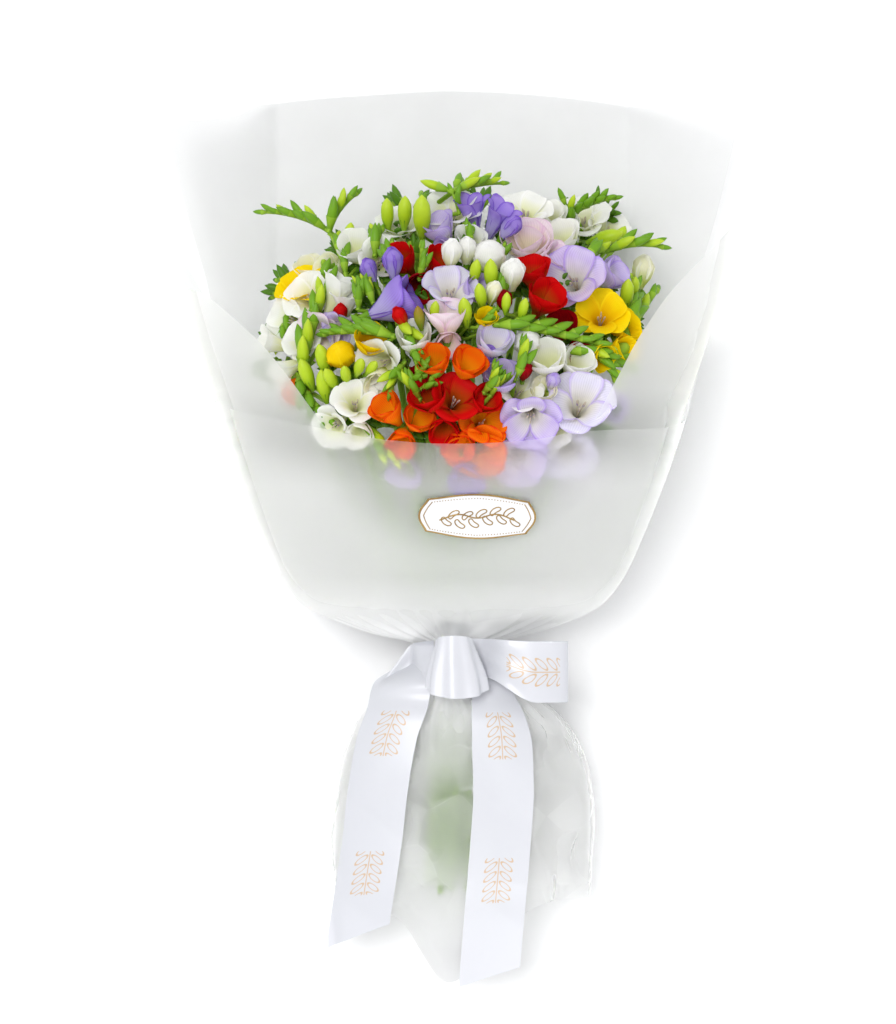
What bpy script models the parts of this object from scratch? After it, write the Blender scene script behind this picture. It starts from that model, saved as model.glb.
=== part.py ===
"""A bunch of freesias in frosted film, tied with satin ribbon and laid on its back.

Metres, +Z up. The flower heads point along +Y and the front of the bunch faces up. While it is
built, y = 0 is the tie. The finished bunch is moved so that the origin is the middle of its
footprint, on the surface that it lies on.
"""

import math

import bmesh
import bpy
import numpy as np
from mathutils import Matrix, Vector

MM = 0.001

# Gaps and thicknesses, in mm.
GAP = 0.4
FILM_THICKNESS = 0.8
FILM_STEP = 2.4
RIBBON_THICKNESS = 0.5
RIBBON_WIDTH = 40.0

# The waist, where everything is tied. Each film is gathered to a collar there.
WAIST_HEIGHT = 42.0
WAIST_RADIUS = 27.0
BAND_HALF_WIDTH = 8.0

# Stems.
STEM_RADIUS = 2.2
STEM_STATIONS = (-158, -110, -60, -20, 0, 14, 30, 48, 75)
STEM_FOCUS = 30.0
TIE_THICKNESS = 2.0
TIE_WIDTH = 12.0
SPLAY_BELOW = 0.45
TWIST_BELOW = math.radians(30)

# The outer film's section at each distance from the tie: (distance, measure) in mm.
HALF_WIDTH = (
    (-225, 80), (-165, 88), (-122, 90), (-90, 87), (-63, 82), (-45, 74), (-30, 60), (-18, 43),
    (-12, 31), (-8.5, 27.2), (0, 27), (8.5, 27.2), (11, 35), (14, 51), (20, 70), (27, 87), (37, 102),
    (53, 114), (79, 126), (126, 144), (170, 158), (216, 173), (271, 187), (400, 215),
)
TOP = (
    (-225, 40), (-170, 66), (-140, 80), (-90, 86), (-50, 82), (-25, 72.5), (-8.5, 69.2), (0, 69),
    (8.5, 69.2), (13, 71.5), (18, 76), (26, 88), (38, 110), (58, 137), (88, 162), (112, 180),
    (141, 197), (170, 206), (271, 214), (400, 216),
)
BOTTOM = ((-225, -8), (-60, -6), (-36, 0), (-18, 9), (-8.5, 14.8), (0, 15), (8.5, 14.8), (18, 2),
          (30, -8), (400, -10))
MIDDLE = ((-225, 34), (-60, 40), (-8.5, 42), (8.5, 42), (20, 50), (55, 70), (140, 85), (270, 92), (400, 94))
SKIRT_SHIFT = ((-225, 6), (-60, 8), (-20, 2), (0, 0), (400, 0))
BACK_HALF_WIDTH = ((126, 139), (170, 148), (242, 163), (300, 179), (385, 198))

# Where each film ends, by the turn about the bunch's axis: 0 is its right side, 90 its front.
OUTER_RIM = ((-90, 150), (-60, 152), (-45, 168), (-35, 196), (-26, 222), (-17, 224), (-9, 200), (-3, 174),
             (4, 160), (15, 154), (30, 151), (60, 148), (75, 142), (90, 140), (105, 143), (120, 150),
             (134, 156), (148, 161), (166, 168), (178, 177), (184, 212), (190, 252), (197, 264),
             (205, 250), (215, 206), (226, 168), (240, 152), (270, 150))
INNER_RIM = ((-90, 146), (-55, 150), (-40, 160), (-25, 190), (-12, 238), (0, 268), (12, 282), (28, 262),
             (40, 237), (48, 206), (52, 180), (57, 150), (64, 126), (76, 98), (90, 84), (104, 104),
             (114, 130), (120, 152), (136, 208), (156, 238), (176, 243), (190, 226), (205, 190),
             (225, 156), (270, 146))
OUTER_HEM = ((-90, -160), (50, -163), (72, -180), (94, -219), (116, -178), (135, -163), (270, -160))
INNER_HEM = ((-90, -152), (270, -152))
TOP_EDGE = ((-1, 357), (-0.76, 364), (-0.66, 373), (-0.3, 380), (0, 383), (0.3, 380), (0.56, 374),
            (0.8, 366), (0.96, 359), (1, 362))
BACK_HEM = -150.0
ROWS = (-145, -122, -92, -66, -46, -31, -20, -13, -8.5, 8.5, 12.5, 18, 26, 38, 58, 88)
FILM_COLUMNS = 24
WRAP_SLIT = 6.0
BACK_REACH = 110.0
CREASE = 122.0
SIDE_PANEL_RISE = 0.6

# The dome of flowers: its height over (x, y), in mm.
DOME_HEIGHT, DOME_HALF_WIDTH, DOME_FRONT, DOME_DEPTH = 182.0, 160.0, 150.0, 168.0
BLOOM_RADIUS = 16.4

# Each freesia: colour, place of its open flowers over the ground (x, y), and where the tip of
# its comb of buds lies from there (x, y, z), in mm.
FREESIAS = (
    ("white", -59, 267, (-72, 31, -22)),
    ("white", -26, 295, (48, 23, 4)),
    ("violet", 20, 292, (-4, 22, 4)),
    ("pink", 51, 282, (4, 24, 6)),
    ("white", 93, 293, (24, 18, 6)),
    ("lavender", 85, 249, (60, 26, -6)),
    ("red", -22, 255, (-6, 14, 20)),
    ("white", 13, 256, (6, 12, 20)),
    ("red", 57, 237, (20, -8, 20)),
    ("violet", -41, 229, (-12, 10, 20)),
    ("yellow", -102, 243, (-20, -12, 12)),
    ("pink", -2, 221, (4, 12, 22)),
    ("white", -76, 232, (-8, 10, 20)),
    ("yellow", 103, 221, (27, 24, 6)),
    ("white", -111, 201, (-14, 12, 14)),
    ("yellow", -64, 197, (-12, 4, 20)),
    ("white", -31, 200, (-4, 8, 22)),
    ("orange", 2, 188, (4, 10, 20)),
    ("lavender", 38, 174, (8, 8, 20)),
    ("white", 63, 194, (8, 10, 20)),
    ("lavender", 87, 165, (12, 10, 18)),
    ("white", -63, 162, (-10, 8, 18)),
    ("orange", -31, 152, (-6, 10, 16)),
    ("red", 6, 156, (2, 10, 16)),
)

# The bow: a roll over the band, its ribbon drawn in a little by the knot, and a loop beside it.
ROLL_RADII, ROLL_WIDTH, ROLL_PLACE, ROLL_LIFT = (19.5, 9.0), 34.0, (2, -8), 2.9
LOOP_RADII, LOOP_Y, LOOP_LIFT = (27.0, 7.0), -8, 1

# Ribbon tails, as their middle line over the ground (x, y), in mm.
LEFT_TAIL = ((-31, -20), (-36, -32), (-43, -52), (-49, -86), (-53, -121), (-58, -154), (-63, -186))
RIGHT_TAIL = ((28, -27), (30, -36), (33, -54), (34, -88), (32, -122), (29, -160), (25, -208))

# The label.
LABEL_PLACE = (16, 95)
LABEL_TURN = math.radians(-4)
LABEL_HALF = (37.5, 14.5)
LABEL_BORDER = 1.6
LABEL_THICKNESS = 0.5

COLOURS = {
    "white": (0.90, 0.89, 0.82),
    "violet": (0.29, 0.20, 0.62),
    "pink": (0.82, 0.66, 0.76),
    "lavender": (0.62, 0.56, 0.84),
    "red": (0.58, 0.01, 0.01),
    "yellow": (0.95, 0.55, 0.01),
    "orange": (0.90, 0.14, 0.01),
    "stem": (0.22, 0.38, 0.07),
    "tie": (0.35, 0.42, 0.22),
    "film": (0.82, 0.82, 0.82),
    "ribbon": (0.90, 0.90, 0.95),
    "label_face": (0.92, 0.91, 0.88),
    "label_backing": (0.36, 0.21, 0.05),
}


def start_empty():
    """Clears the scene and returns the collection for the bunch's pieces."""
    for thing in list(bpy.data.objects):
        bpy.data.objects.remove(thing, do_unlink=True)
    bunch = bpy.data.collections.new("freesia_bouquet")
    bpy.context.scene.collection.children.link(bunch)
    return bunch


def finish(name, colour, roughness):
    """A plain Principled finish for one piece."""
    made = bpy.data.materials.new(name)
    made.use_nodes = True
    shader = made.node_tree.nodes["Principled BSDF"]
    shader.inputs["Base Color"].default_value = (*COLOURS[colour], 1.0)
    shader.inputs["Roughness"].default_value = roughness
    return made


def add_piece(bunch, name, data, colour, roughness=0.5):
    """Puts a mesh or a curve in the bunch as one named piece with its own finish."""
    piece = bpy.data.objects.new(name, data)
    data.materials.append(finish(name, colour, roughness))
    bunch.objects.link(piece)
    return piece


def profile(points):
    """A smooth function through (place, value) points that doesn't overshoot them."""
    places = np.array([p for p, _ in points], float)
    values = np.array([v for _, v in points], float)
    rises = np.diff(values) / np.diff(places)
    slopes = np.zeros(len(places))
    slopes[0], slopes[-1] = rises[0], rises[-1]
    for k in range(1, len(places) - 1):
        before, after = rises[k - 1], rises[k]
        if before * after > 0:
            slopes[k] = 2 * before * after / (before + after)

    def at(place):
        k = int(np.clip(np.searchsorted(places, place) - 1, 0, len(places) - 2))
        step = places[k + 1] - places[k]
        t = min(max((place - places[k]) / step, 0.0), 1.0)
        return float(
            values[k] * (1 + 2 * t) * (1 - t) ** 2
            + slopes[k] * step * t * (1 - t) ** 2
            + values[k + 1] * t * t * (3 - 2 * t)
            - slopes[k + 1] * step * t * t * (1 - t)
        )

    return at


def ease(low, high, value):
    """0 below low, 1 above high, and smooth between."""
    t = min(max((value - low) / (high - low), 0.0), 1.0)
    return t * t * (3 - 2 * t)


half_width, top, bottom, middle = profile(HALF_WIDTH), profile(TOP), profile(BOTTOM), profile(MIDDLE)
skirt_shift, back_half_width = profile(SKIRT_SHIFT), profile(BACK_HALF_WIDTH)


def squareness(y, facing_up):
    """The section's exponent: 2, an ellipse, at the tie and squarer away from it."""
    away = ease(8, 40, abs(y))
    return 2.0 + away * (0.3 if facing_up else 1.2)


def section(y, turn, depth):
    """The point (x, z) of a film that lies depth inside the outer one, at this turn in degrees."""
    across, up = math.cos(math.radians(turn)), math.sin(math.radians(turn))
    power = 2 / squareness(y, up > 0)
    rise = top(y) - depth - middle(y) if up > 0 else middle(y) - bottom(y) - depth
    x = skirt_shift(y) + (half_width(y) - depth) * math.copysign(abs(across) ** power, across)
    z = middle(y) + rise * math.copysign(abs(up) ** power, up)
    return x, max(z, depth)


def front_height(x, y):
    """How high the outer film's front lies at (x, y)."""
    power = squareness(y, True)
    part = min(abs(x - skirt_shift(y)) / half_width(y), 0.98)
    return middle(y) + (top(y) - middle(y)) * (1 - part**power) ** (1 / power)


def gathered(y, film_depth, collar_depth):
    """A film's depth inside the outer one: spread out away from the tie, a thick collar at it."""
    near = 1 - ease(9, 18, abs(y))
    return film_depth + near * (collar_depth - film_depth)


def inset(y, film_depth):
    """How far along the axis a film moves to lie film_depth inside the outer one on a steep wall."""
    slope = (half_width(y + 1) - half_width(y - 1)) / 2
    return film_depth * slope / math.hypot(1, slope)


def shell(name, outside, inside, rows, columns):
    """A closed mesh between two grids of points, joined around their shared border."""
    mesh = bmesh.new()
    sides = []
    for point in (outside, inside):
        sides.append(
            [[mesh.verts.new(Vector(point(r, c)) * MM) for c in range(columns)] for r in range(rows)]
        )
    far, near = sides
    for r in range(rows - 1):
        for c in range(columns - 1):
            mesh.faces.new((far[r][c], far[r][c + 1], far[r + 1][c + 1], far[r + 1][c]))
            mesh.faces.new((near[r][c], near[r + 1][c], near[r + 1][c + 1], near[r][c + 1]))
    border = [(0, c) for c in range(columns)] + [(r, columns - 1) for r in range(1, rows)]
    border += [(rows - 1, c) for c in range(columns - 2, -1, -1)]
    border += [(r, 0) for r in range(rows - 2, 0, -1)]
    for (r1, c1), (r2, c2) in zip(border, border[1:] + border[:1]):
        mesh.faces.new((far[r1][c1], near[r1][c1], near[r2][c2], far[r2][c2]))
    bmesh.ops.recalc_face_normals(mesh, faces=mesh.faces)
    data = bpy.data.meshes.new(name)
    mesh.to_mesh(data)
    mesh.free()
    return data


def film_rows(hem, rim):
    """The distances from the tie at which a column of film has points, from its hem to its rim."""
    first, last = ROWS[0], ROWS[-1]
    return [hem, (hem + first) / 2, *ROWS, last + (rim - last) / 3, last + (rim - last) * 2 / 3, rim]


def wrap_turns():
    """The turns about the axis at which a film has its columns of points."""
    return np.linspace(-90 + WRAP_SLIT / 2, 270 - WRAP_SLIT / 2, FILM_COLUMNS + 1)


def add_wrap(bunch, name, rim, hem, film_depths, collar_depths):
    """A film around the whole bunch, whose two ends nearly meet under its back."""
    rim_at, hem_at, turns = profile(rim), profile(hem), wrap_turns()
    columns = [film_rows(hem_at(turn), rim_at(turn)) for turn in turns]

    def surface(side):
        def point(row, column):
            y = columns[column][row]
            depth = gathered(y, film_depths[side], collar_depths[side])
            x, z = section(y, turns[column], depth)
            return x, y + inset(y, film_depths[side]), z

        return point

    data = shell(name, surface(0), surface(1), len(columns[0]), len(turns))
    return add_piece(bunch, name, data, "film", 0.45)


def add_back_sheet(bunch, film_depths, collar_depths):
    """The tall film behind the flowers: a trough at the tie, and above it a flat sheet whose side
    panels turn forward."""
    edge = profile(TOP_EDGE)
    turns = [turn for turn in wrap_turns() if turn > 270 - BACK_REACH]
    turns += [turn + 360 for turn in wrap_turns() if turn < BACK_REACH - 90]
    places = [(turn - 270) / (turns[-1] - 270) for turn in turns]
    last = ROWS[-1]
    columns = []
    for place in places:
        rise = edge(place) - last
        columns.append([BACK_HEM, *ROWS, *(last + rise * part for part in (0.2, 0.4, 0.6, 0.8, 1.0))])

    def surface(side):
        def point(row, column):
            y, place = columns[column][row], places[column]
            depth = gathered(y, film_depths[side], collar_depths[side])
            trough_x, trough_z = section(y, turns[column], depth)
            flat = ease(125, 260, y)
            sheet_x = back_half_width(y) * place
            lift = film_depths[0] * (1 - ease(165, 235, y)) + film_depths[side] - film_depths[0]
            sheet_z = lift + max(abs(sheet_x) - CREASE, 0.0) * SIDE_PANEL_RISE
            x = trough_x + flat * (sheet_x - trough_x)
            return x, y + inset(y, film_depths[side]), trough_z + flat * (sheet_z - trough_z)

        return point

    data = shell("back_sheet", surface(0), surface(1), len(columns[0]), len(places))
    return add_piece(bunch, "back_sheet", data, "film", 0.45)


def dome(x, y):
    """The height of the middle of the flowers over (x, y)."""
    back = (max(y, DOME_FRONT) - DOME_FRONT) / DOME_DEPTH
    return DOME_HEIGHT * math.sqrt(max(1 - (x / DOME_HALF_WIDTH) ** 2 - back**2, 0.04))


def place_blooms():
    """Seats the open flowers on the dome, then moves apart any that press on each other or on a
    neighbour's stem."""
    centres = [Vector((x, y, dome(x, y))) for _, x, y, _ in FREESIAS]
    focus = Vector((0, -STEM_FOCUS, WAIST_HEIGHT))
    apart, beside = 2 * BLOOM_RADIUS + 0.6, BLOOM_RADIUS + STEM_RADIUS + 1.0
    for _ in range(200):
        for i, here in enumerate(centres):
            for j, there in enumerate(centres):
                if i < j and (there - here).length < apart:
                    push = (there - here).normalized() * (apart - (there - here).length) * 0.5
                    centres[i] -= push
                    centres[j] += push
                along = (there - focus).normalized()
                reach = (here - focus).dot(along)
                away = here - focus - along * reach
                if i != j and reach < (there - focus).length and away.length < beside:
                    push = away.normalized() * (beside - away.length) * 0.5
                    centres[i] += push
                    centres[j] -= push
    return centres


def pack_stems(centres):
    """Gathers the stems round each other at the tie, each on the side that its flowers are on."""
    spots = [Vector((c.x, c.z - WAIST_HEIGHT)) * STEM_FOCUS / (c.y + STEM_FOCUS) for c in centres]
    mean = sum(spots, Vector((0, 0))) / len(spots)
    spots = [spot - mean for spot in spots]
    pitch = 2 * STEM_RADIUS + GAP
    for step in range(700):
        if step < 500:
            spots = [spot * 0.985 for spot in spots]
        for i, here in enumerate(spots):
            for j in range(i + 1, len(spots)):
                between = spots[j] - here
                if between.length < pitch:
                    push = between.normalized() * (pitch - between.length) * 0.5
                    spots[i] = spots[i] - push
                    spots[j] = spots[j] + push
                    here = spots[i]
    return spots


def stem_points(spot, centre, until):
    """A stem's middle line from its cut end, through the tie, to its flowers."""
    stations = [*STEM_STATIONS, (STEM_STATIONS[-1] + until) / 2, until]
    points = []
    for y in stations:
        below = min(y, 0.0) / STEM_STATIONS[0]
        turn = Matrix.Rotation(TWIST_BELOW * below, 2)
        tied = turn @ spot * (1 + SPLAY_BELOW * below)
        reach = (max(y, 0.0) + STEM_FOCUS) / (centre.y + STEM_FOCUS)
        free = Vector((centre.x, centre.z - WAIST_HEIGHT)) * reach
        leave = ease(0, STEM_STATIONS[-1], y)
        x, z = tied * (1 - leave) + free * leave
        points.append(Vector((x, y, WAIST_HEIGHT + z)))
    return points


def tube(name, points, radii, sides=2):
    """A closed round body along points, with its own radius at each."""
    data = bpy.data.curves.new(name, "CURVE")
    data.dimensions = "3D"
    data.bevel_depth = MM
    data.bevel_resolution = sides
    data.use_fill_caps = True
    spline = data.splines.new("POLY")
    spline.points.add(len(points) - 1)
    for at, point, radius in zip(spline.points, points, radii):
        at.co = (*(Vector(point) * MM), 1.0)
        at.radius = radius
    return data


def add_freesia(bunch, number, colour, centre, comb, spot):
    """One stem and its flowers. The flowers are a soft body that narrows into the comb of buds."""
    focus = Vector((0, -STEM_FOCUS, WAIST_HEIGHT))
    along = (centre - focus).normalized()
    base = centre - along * (BLOOM_RADIUS + 9)
    line = stem_points(spot, centre, (base - along * GAP).y)
    stem = f"stem_{number:02d}"
    add_piece(bunch, stem, tube(stem, line, [STEM_RADIUS] * len(line), 1), "stem", 0.6)

    tip = centre + Vector(comb)
    shoulder = centre + along * (BLOOM_RADIUS * 0.8)
    turn = shoulder + along * 3 + (tip - shoulder) * 0.25
    spine = [base, centre - along * 15, centre - along * 7, centre + along * 2, centre + along * 9]
    spine += [shoulder, turn, tip]
    radii = [2.4, 9.0, 14.6, BLOOM_RADIUS, 12.5, 7.0, 4.4, 2.2]
    head = f"flowers_{number:02d}_{colour}"
    add_piece(bunch, head, tube(head, spine, radii, 3), colour, 0.5)


def band(name, radius_across, radius_up, width, centre):
    """An open band of no thickness, round or oval, with its axis along Y."""
    mesh = bmesh.new()
    bmesh.ops.create_cone(
        mesh, cap_ends=False, segments=28, radius1=1, radius2=1, depth=width * MM,
        matrix=Matrix.Rotation(math.radians(90), 4, "X"),
    )
    bmesh.ops.scale(mesh, vec=(radius_across * MM, 1, radius_up * MM), verts=mesh.verts)
    bmesh.ops.recalc_face_normals(mesh, faces=mesh.faces)
    bmesh.ops.translate(mesh, vec=Vector(centre) * MM, verts=mesh.verts)
    data = bpy.data.meshes.new(name)
    mesh.to_mesh(data)
    mesh.free()
    return data


def thicken(piece, thickness):
    """Gives an open sheet its thickness, on the side that its faces point to."""
    solid = piece.modifiers.new("thickness", "SOLIDIFY")
    solid.thickness = thickness * MM
    solid.offset = 1
    solid.use_even_offset = True


def add_ribbon_band(bunch, name, *sizes):
    """A closed band of ribbon, with sizes as band takes them."""
    thicken(add_piece(bunch, name, band(name, *sizes), "ribbon", 0.3), RIBBON_THICKNESS)


def add_bow(bunch):
    """The satin ribbon: a band round the tie, a roll over it, and a loop out to the right."""
    band_radius = WAIST_RADIUS + 2 * GAP
    band_middle = (0, 0, WAIST_HEIGHT)
    add_ribbon_band(bunch, "ribbon_band", band_radius, band_radius, 2 * BAND_HALF_WIDTH, band_middle)

    across, up = ROLL_RADII
    band_top = WAIST_HEIGHT + band_radius + RIBBON_THICKNESS
    roll_middle = (ROLL_PLACE[0], ROLL_PLACE[1], band_top + ROLL_LIFT + RIBBON_THICKNESS + up)
    add_ribbon_band(bunch, "ribbon_roll", across, up, ROLL_WIDTH, roll_middle)

    roll_side = ROLL_PLACE[0] + across + RIBBON_THICKNESS
    across, up = LOOP_RADII
    loop_x = roll_side + GAP + RIBBON_THICKNESS + across
    loop_middle = (loop_x, LOOP_Y, roll_middle[2] + LOOP_LIFT)
    add_ribbon_band(bunch, "ribbon_loop", across, up, RIBBON_WIDTH, loop_middle)


def add_tail(bunch, name, line, slant):
    """A ribbon tail that lies on the skirt of film, cut at a slant."""
    middle_line = profile([(-y, x) for x, y in line])
    start, end = line[0][1], line[-1][1]
    rows, across = 13, (-1.0, -0.5, 0.0, 0.5, 1.0)

    def surface(side):
        def point(row, column):
            along = row / (rows - 1)
            y = start + (end - start) * along + slant * across[column] * along**6
            x = middle_line(-y) + across[column] * RIBBON_WIDTH / 2
            lie = max(front_height(x, y + step) for step in (-6, 0, 6))
            return x, y, lie + 2 * GAP + side * RIBBON_THICKNESS

        return point

    data = shell(name, surface(1), surface(0), rows, len(across))
    return add_piece(bunch, name, data, "ribbon", 0.3)


def plaque(name, half_x, half_y):
    """The label's outline: a long plaque with bulging sides and small steps at its corners."""
    data = bpy.data.curves.new(name, "CURVE")
    data.dimensions = "2D"
    data.fill_mode = "BOTH"
    data.extrude = LABEL_THICKNESS / 2 * MM
    spline = data.splines.new("BEZIER")
    outline = [(-0.86, -0.72), (0, -1.0), (0.86, -0.72), (1.0, 0), (0.86, 0.72), (0, 1.0), (-0.86, 0.72),
               (-1.0, 0)]
    spline.bezier_points.add(len(outline) - 1)
    for at, (x, y) in zip(spline.bezier_points, outline):
        at.co = (x * half_x * MM, y * half_y * MM, 0)
        at.handle_left_type = at.handle_right_type = "AUTO" if 0 in (x, y) else "VECTOR"
    spline.use_cyclic_u = True
    spline.resolution_u = 4
    return data


def add_label(bunch):
    """The label: a face on a slightly larger backing, laid on the front of the film."""
    x, y = LABEL_PLACE
    slope_y = math.atan2(front_height(x, y + 12) - front_height(x, y - 12), 24)
    slope_x = math.atan2(front_height(x + 12, y) - front_height(x - 12, y), 24)
    lean = Matrix.Rotation(slope_y, 4, "X") @ Matrix.Rotation(-slope_x, 4, "Y")
    lean = lean @ Matrix.Rotation(LABEL_TURN, 4, "Z")
    seat = Matrix.Translation(Vector((x, y, front_height(x, y))) * MM)
    layers = (("label_backing", 0.0, GAP), ("label_face", LABEL_BORDER, 2 * GAP + LABEL_THICKNESS))
    for name, border, height in layers:
        data = plaque(name, LABEL_HALF[0] - border, LABEL_HALF[1] - border)
        piece = add_piece(bunch, name, data, name, 0.4)
        middle_up = Matrix.Translation((0, 0, (height + LABEL_THICKNESS / 2) * MM))
        piece.matrix_world = seat @ lean @ middle_up


def centre_on_base(bunch):
    """Moves the whole bunch so that the origin is the middle of its footprint."""
    bpy.context.view_layer.update()
    graph = bpy.context.evaluated_depsgraph_get()
    corners = []
    for piece in bunch.objects:
        shown = piece.evaluated_get(graph)
        corners += [shown.matrix_world @ at.co for at in shown.to_mesh().vertices]
    low = Vector([min(corner[k] for corner in corners) for k in range(3)])
    high = Vector([max(corner[k] for corner in corners) for k in range(3)])
    shift = Matrix.Translation((-(low.x + high.x) / 2, -(low.y + high.y) / 2, -low.z))
    for piece in bunch.objects:
        piece.matrix_world = shift @ piece.matrix_world


def main():
    bunch = start_empty()
    centres = place_blooms()
    spots = pack_stems(centres)
    for number, (freesia, centre, spot) in enumerate(zip(FREESIAS, centres, spots), 1):
        add_freesia(bunch, number, freesia[0], centre, freesia[3], spot)

    tie_radius = max(spot.length for spot in spots) + STEM_RADIUS + GAP
    data = band("stem_tie", tie_radius, tie_radius, TIE_WIDTH, (0, 0, WAIST_HEIGHT))
    thicken(add_piece(bunch, "stem_tie", data, "tie", 0.7), TIE_THICKNESS)

    inner_collar = WAIST_RADIUS - tie_radius - TIE_THICKNESS - 2 * GAP
    film = (inner_collar - 2 * GAP) / 3
    collars = [k * (film + GAP) for k in range(3)]
    depths = [k * FILM_STEP for k in range(3)]
    add_wrap(bunch, "outer_wrap", OUTER_RIM, OUTER_HEM, (depths[0], depths[0] + FILM_THICKNESS),
             (collars[0], collars[0] + film))
    add_wrap(bunch, "inner_wrap", INNER_RIM, INNER_HEM, (depths[1], depths[1] + FILM_THICKNESS),
             (collars[1], collars[1] + film))
    add_back_sheet(bunch, (depths[2], depths[2] + FILM_THICKNESS), (collars[2], collars[2] + film))

    add_bow(bunch)
    add_tail(bunch, "ribbon_left_tail", LEFT_TAIL, 9)
    add_tail(bunch, "ribbon_right_tail", RIGHT_TAIL, 7)
    add_label(bunch)
    centre_on_base(bunch)


main()
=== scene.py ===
# %% [markdown]
# # A bunch of freesias in frosted film
#
# Twenty-four freesias are tied in a bunch and wrapped in three sheets of frosted film. A satin
# ribbon is tied round the waist, and a small label sits on the front. The bunch lies on its back,
# so +Y points from the cut stems to the flowers and +Z is the front of the bunch.
#
# The solid model fixes where everything goes. Each lesson below makes one kind of piece in full
# detail and puts it in the same place.

import math

import bpy
import numpy as np
from mathutils import Matrix, Vector, noise


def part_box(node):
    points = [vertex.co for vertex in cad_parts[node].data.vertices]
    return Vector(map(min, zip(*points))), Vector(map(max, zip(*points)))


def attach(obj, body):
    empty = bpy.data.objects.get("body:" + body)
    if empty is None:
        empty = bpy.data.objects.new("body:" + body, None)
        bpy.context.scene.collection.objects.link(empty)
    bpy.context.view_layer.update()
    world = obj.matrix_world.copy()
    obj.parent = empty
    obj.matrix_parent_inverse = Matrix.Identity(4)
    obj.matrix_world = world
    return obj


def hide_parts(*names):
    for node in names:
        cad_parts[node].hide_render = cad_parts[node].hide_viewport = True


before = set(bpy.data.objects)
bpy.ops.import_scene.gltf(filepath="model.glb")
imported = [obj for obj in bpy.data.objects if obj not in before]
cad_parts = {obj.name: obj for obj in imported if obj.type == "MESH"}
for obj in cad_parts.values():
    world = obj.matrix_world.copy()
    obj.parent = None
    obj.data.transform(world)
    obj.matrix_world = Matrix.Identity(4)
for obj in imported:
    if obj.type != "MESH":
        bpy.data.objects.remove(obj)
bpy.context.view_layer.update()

# %% [markdown]
# ## Measures
#
# A wrapped bunch is soft and has no flat face to measure from, but the tie holds all of it. Its
# pieces could each be placed by eye in the scene. They are worked out in millimetres from the tie
# instead, where y = 0 is the middle of the knot, so that they keep together. `at` turns such a
# point into a place in the scene.

# %% Sizes
MM = 0.001
tie_low, tie_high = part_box("stem_tie")
TIE = (tie_low + tie_high) / 2

GAP, RIBBON_WIDTH, WAIST_HEIGHT = 0.4, 40.0, 42.0
STEM_RADIUS, STEM_FOCUS, BLOOM_RADIUS = 2.2, 30.0, 16.4
STEM_STATIONS = (-158, -110, -60, -20, 0, 14, 30, 48, 75)
SPLAY_BELOW, TWIST_BELOW = 0.45, math.radians(30)


def at(x, y, z):
    """The place in the scene of a point in mm from the tie."""
    return Vector((TIE.x + x * MM, TIE.y + y * MM, z * MM))


print("the knot is at", at(0, 0, WAIST_HEIGHT))

# %% [markdown]
# ## The outline of the film
#
# Film that wraps a bunch is narrow at the waist, swells round the flowers and flares below the
# tie. It could be drawn as many separate curves. A few profiles say the same with fewer numbers:
# the film's half width, its top and its bottom at each distance from the tie. The rims say where
# each film ends as you turn about the bunch, where 0 is its right side and 90 its front.

# %% Profiles
HALF_WIDTH = (
    (-225, 80), (-165, 88), (-122, 90), (-90, 87), (-63, 82), (-45, 74), (-30, 60), (-18, 43),
    (-12, 31), (-8.5, 27.2), (0, 27), (8.5, 27.2), (11, 35), (14, 51), (20, 70), (27, 87), (37, 102),
    (53, 114), (79, 126), (126, 144), (170, 158), (216, 173), (271, 187), (400, 215),
)
TOP = (
    (-225, 40), (-170, 66), (-140, 80), (-90, 86), (-50, 82), (-25, 72.5), (-8.5, 69.2), (0, 69),
    (8.5, 69.2), (13, 71.5), (18, 76), (26, 88), (38, 110), (58, 137), (88, 162), (112, 180),
    (141, 197), (170, 206), (271, 214), (400, 216),
)
BOTTOM = ((-225, -8), (-60, -6), (-36, 0), (-18, 9), (-8.5, 14.8), (0, 15), (8.5, 14.8), (18, 2),
          (30, -8), (400, -10))
MIDDLE = ((-225, 34), (-60, 40), (-8.5, 42), (8.5, 42), (20, 50), (55, 70), (140, 85), (270, 92), (400, 94))
SKIRT_SHIFT = ((-225, 6), (-60, 8), (-20, 2), (0, 0), (400, 0))
BACK_HALF_WIDTH = ((126, 139), (170, 148), (242, 163), (300, 179), (385, 198))

OUTER_RIM = ((-90, 150), (-60, 152), (-45, 168), (-35, 196), (-26, 222), (-17, 224), (-9, 200), (-3, 174),
             (4, 160), (15, 154), (30, 151), (60, 148), (75, 142), (90, 140), (105, 143), (120, 150),
             (134, 156), (148, 161), (166, 168), (178, 177), (184, 212), (190, 252), (197, 264),
             (205, 250), (215, 206), (226, 168), (240, 152), (270, 150))
INNER_RIM = ((-90, 146), (-55, 150), (-40, 160), (-25, 190), (-12, 238), (0, 268), (12, 282), (28, 262),
             (40, 237), (48, 206), (52, 180), (57, 150), (64, 126), (76, 98), (90, 84), (104, 104),
             (114, 130), (120, 152), (136, 208), (156, 238), (176, 243), (190, 226), (205, 190),
             (225, 156), (270, 146))
OUTER_HEM = ((-90, -160), (50, -163), (72, -180), (94, -219), (116, -178), (135, -163), (270, -160))
TOP_EDGE = ((-1, 357), (-0.76, 364), (-0.66, 373), (-0.3, 380), (0, 383), (0.3, 380), (0.56, 374),
            (0.8, 366), (0.96, 359), (1, 362))


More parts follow.
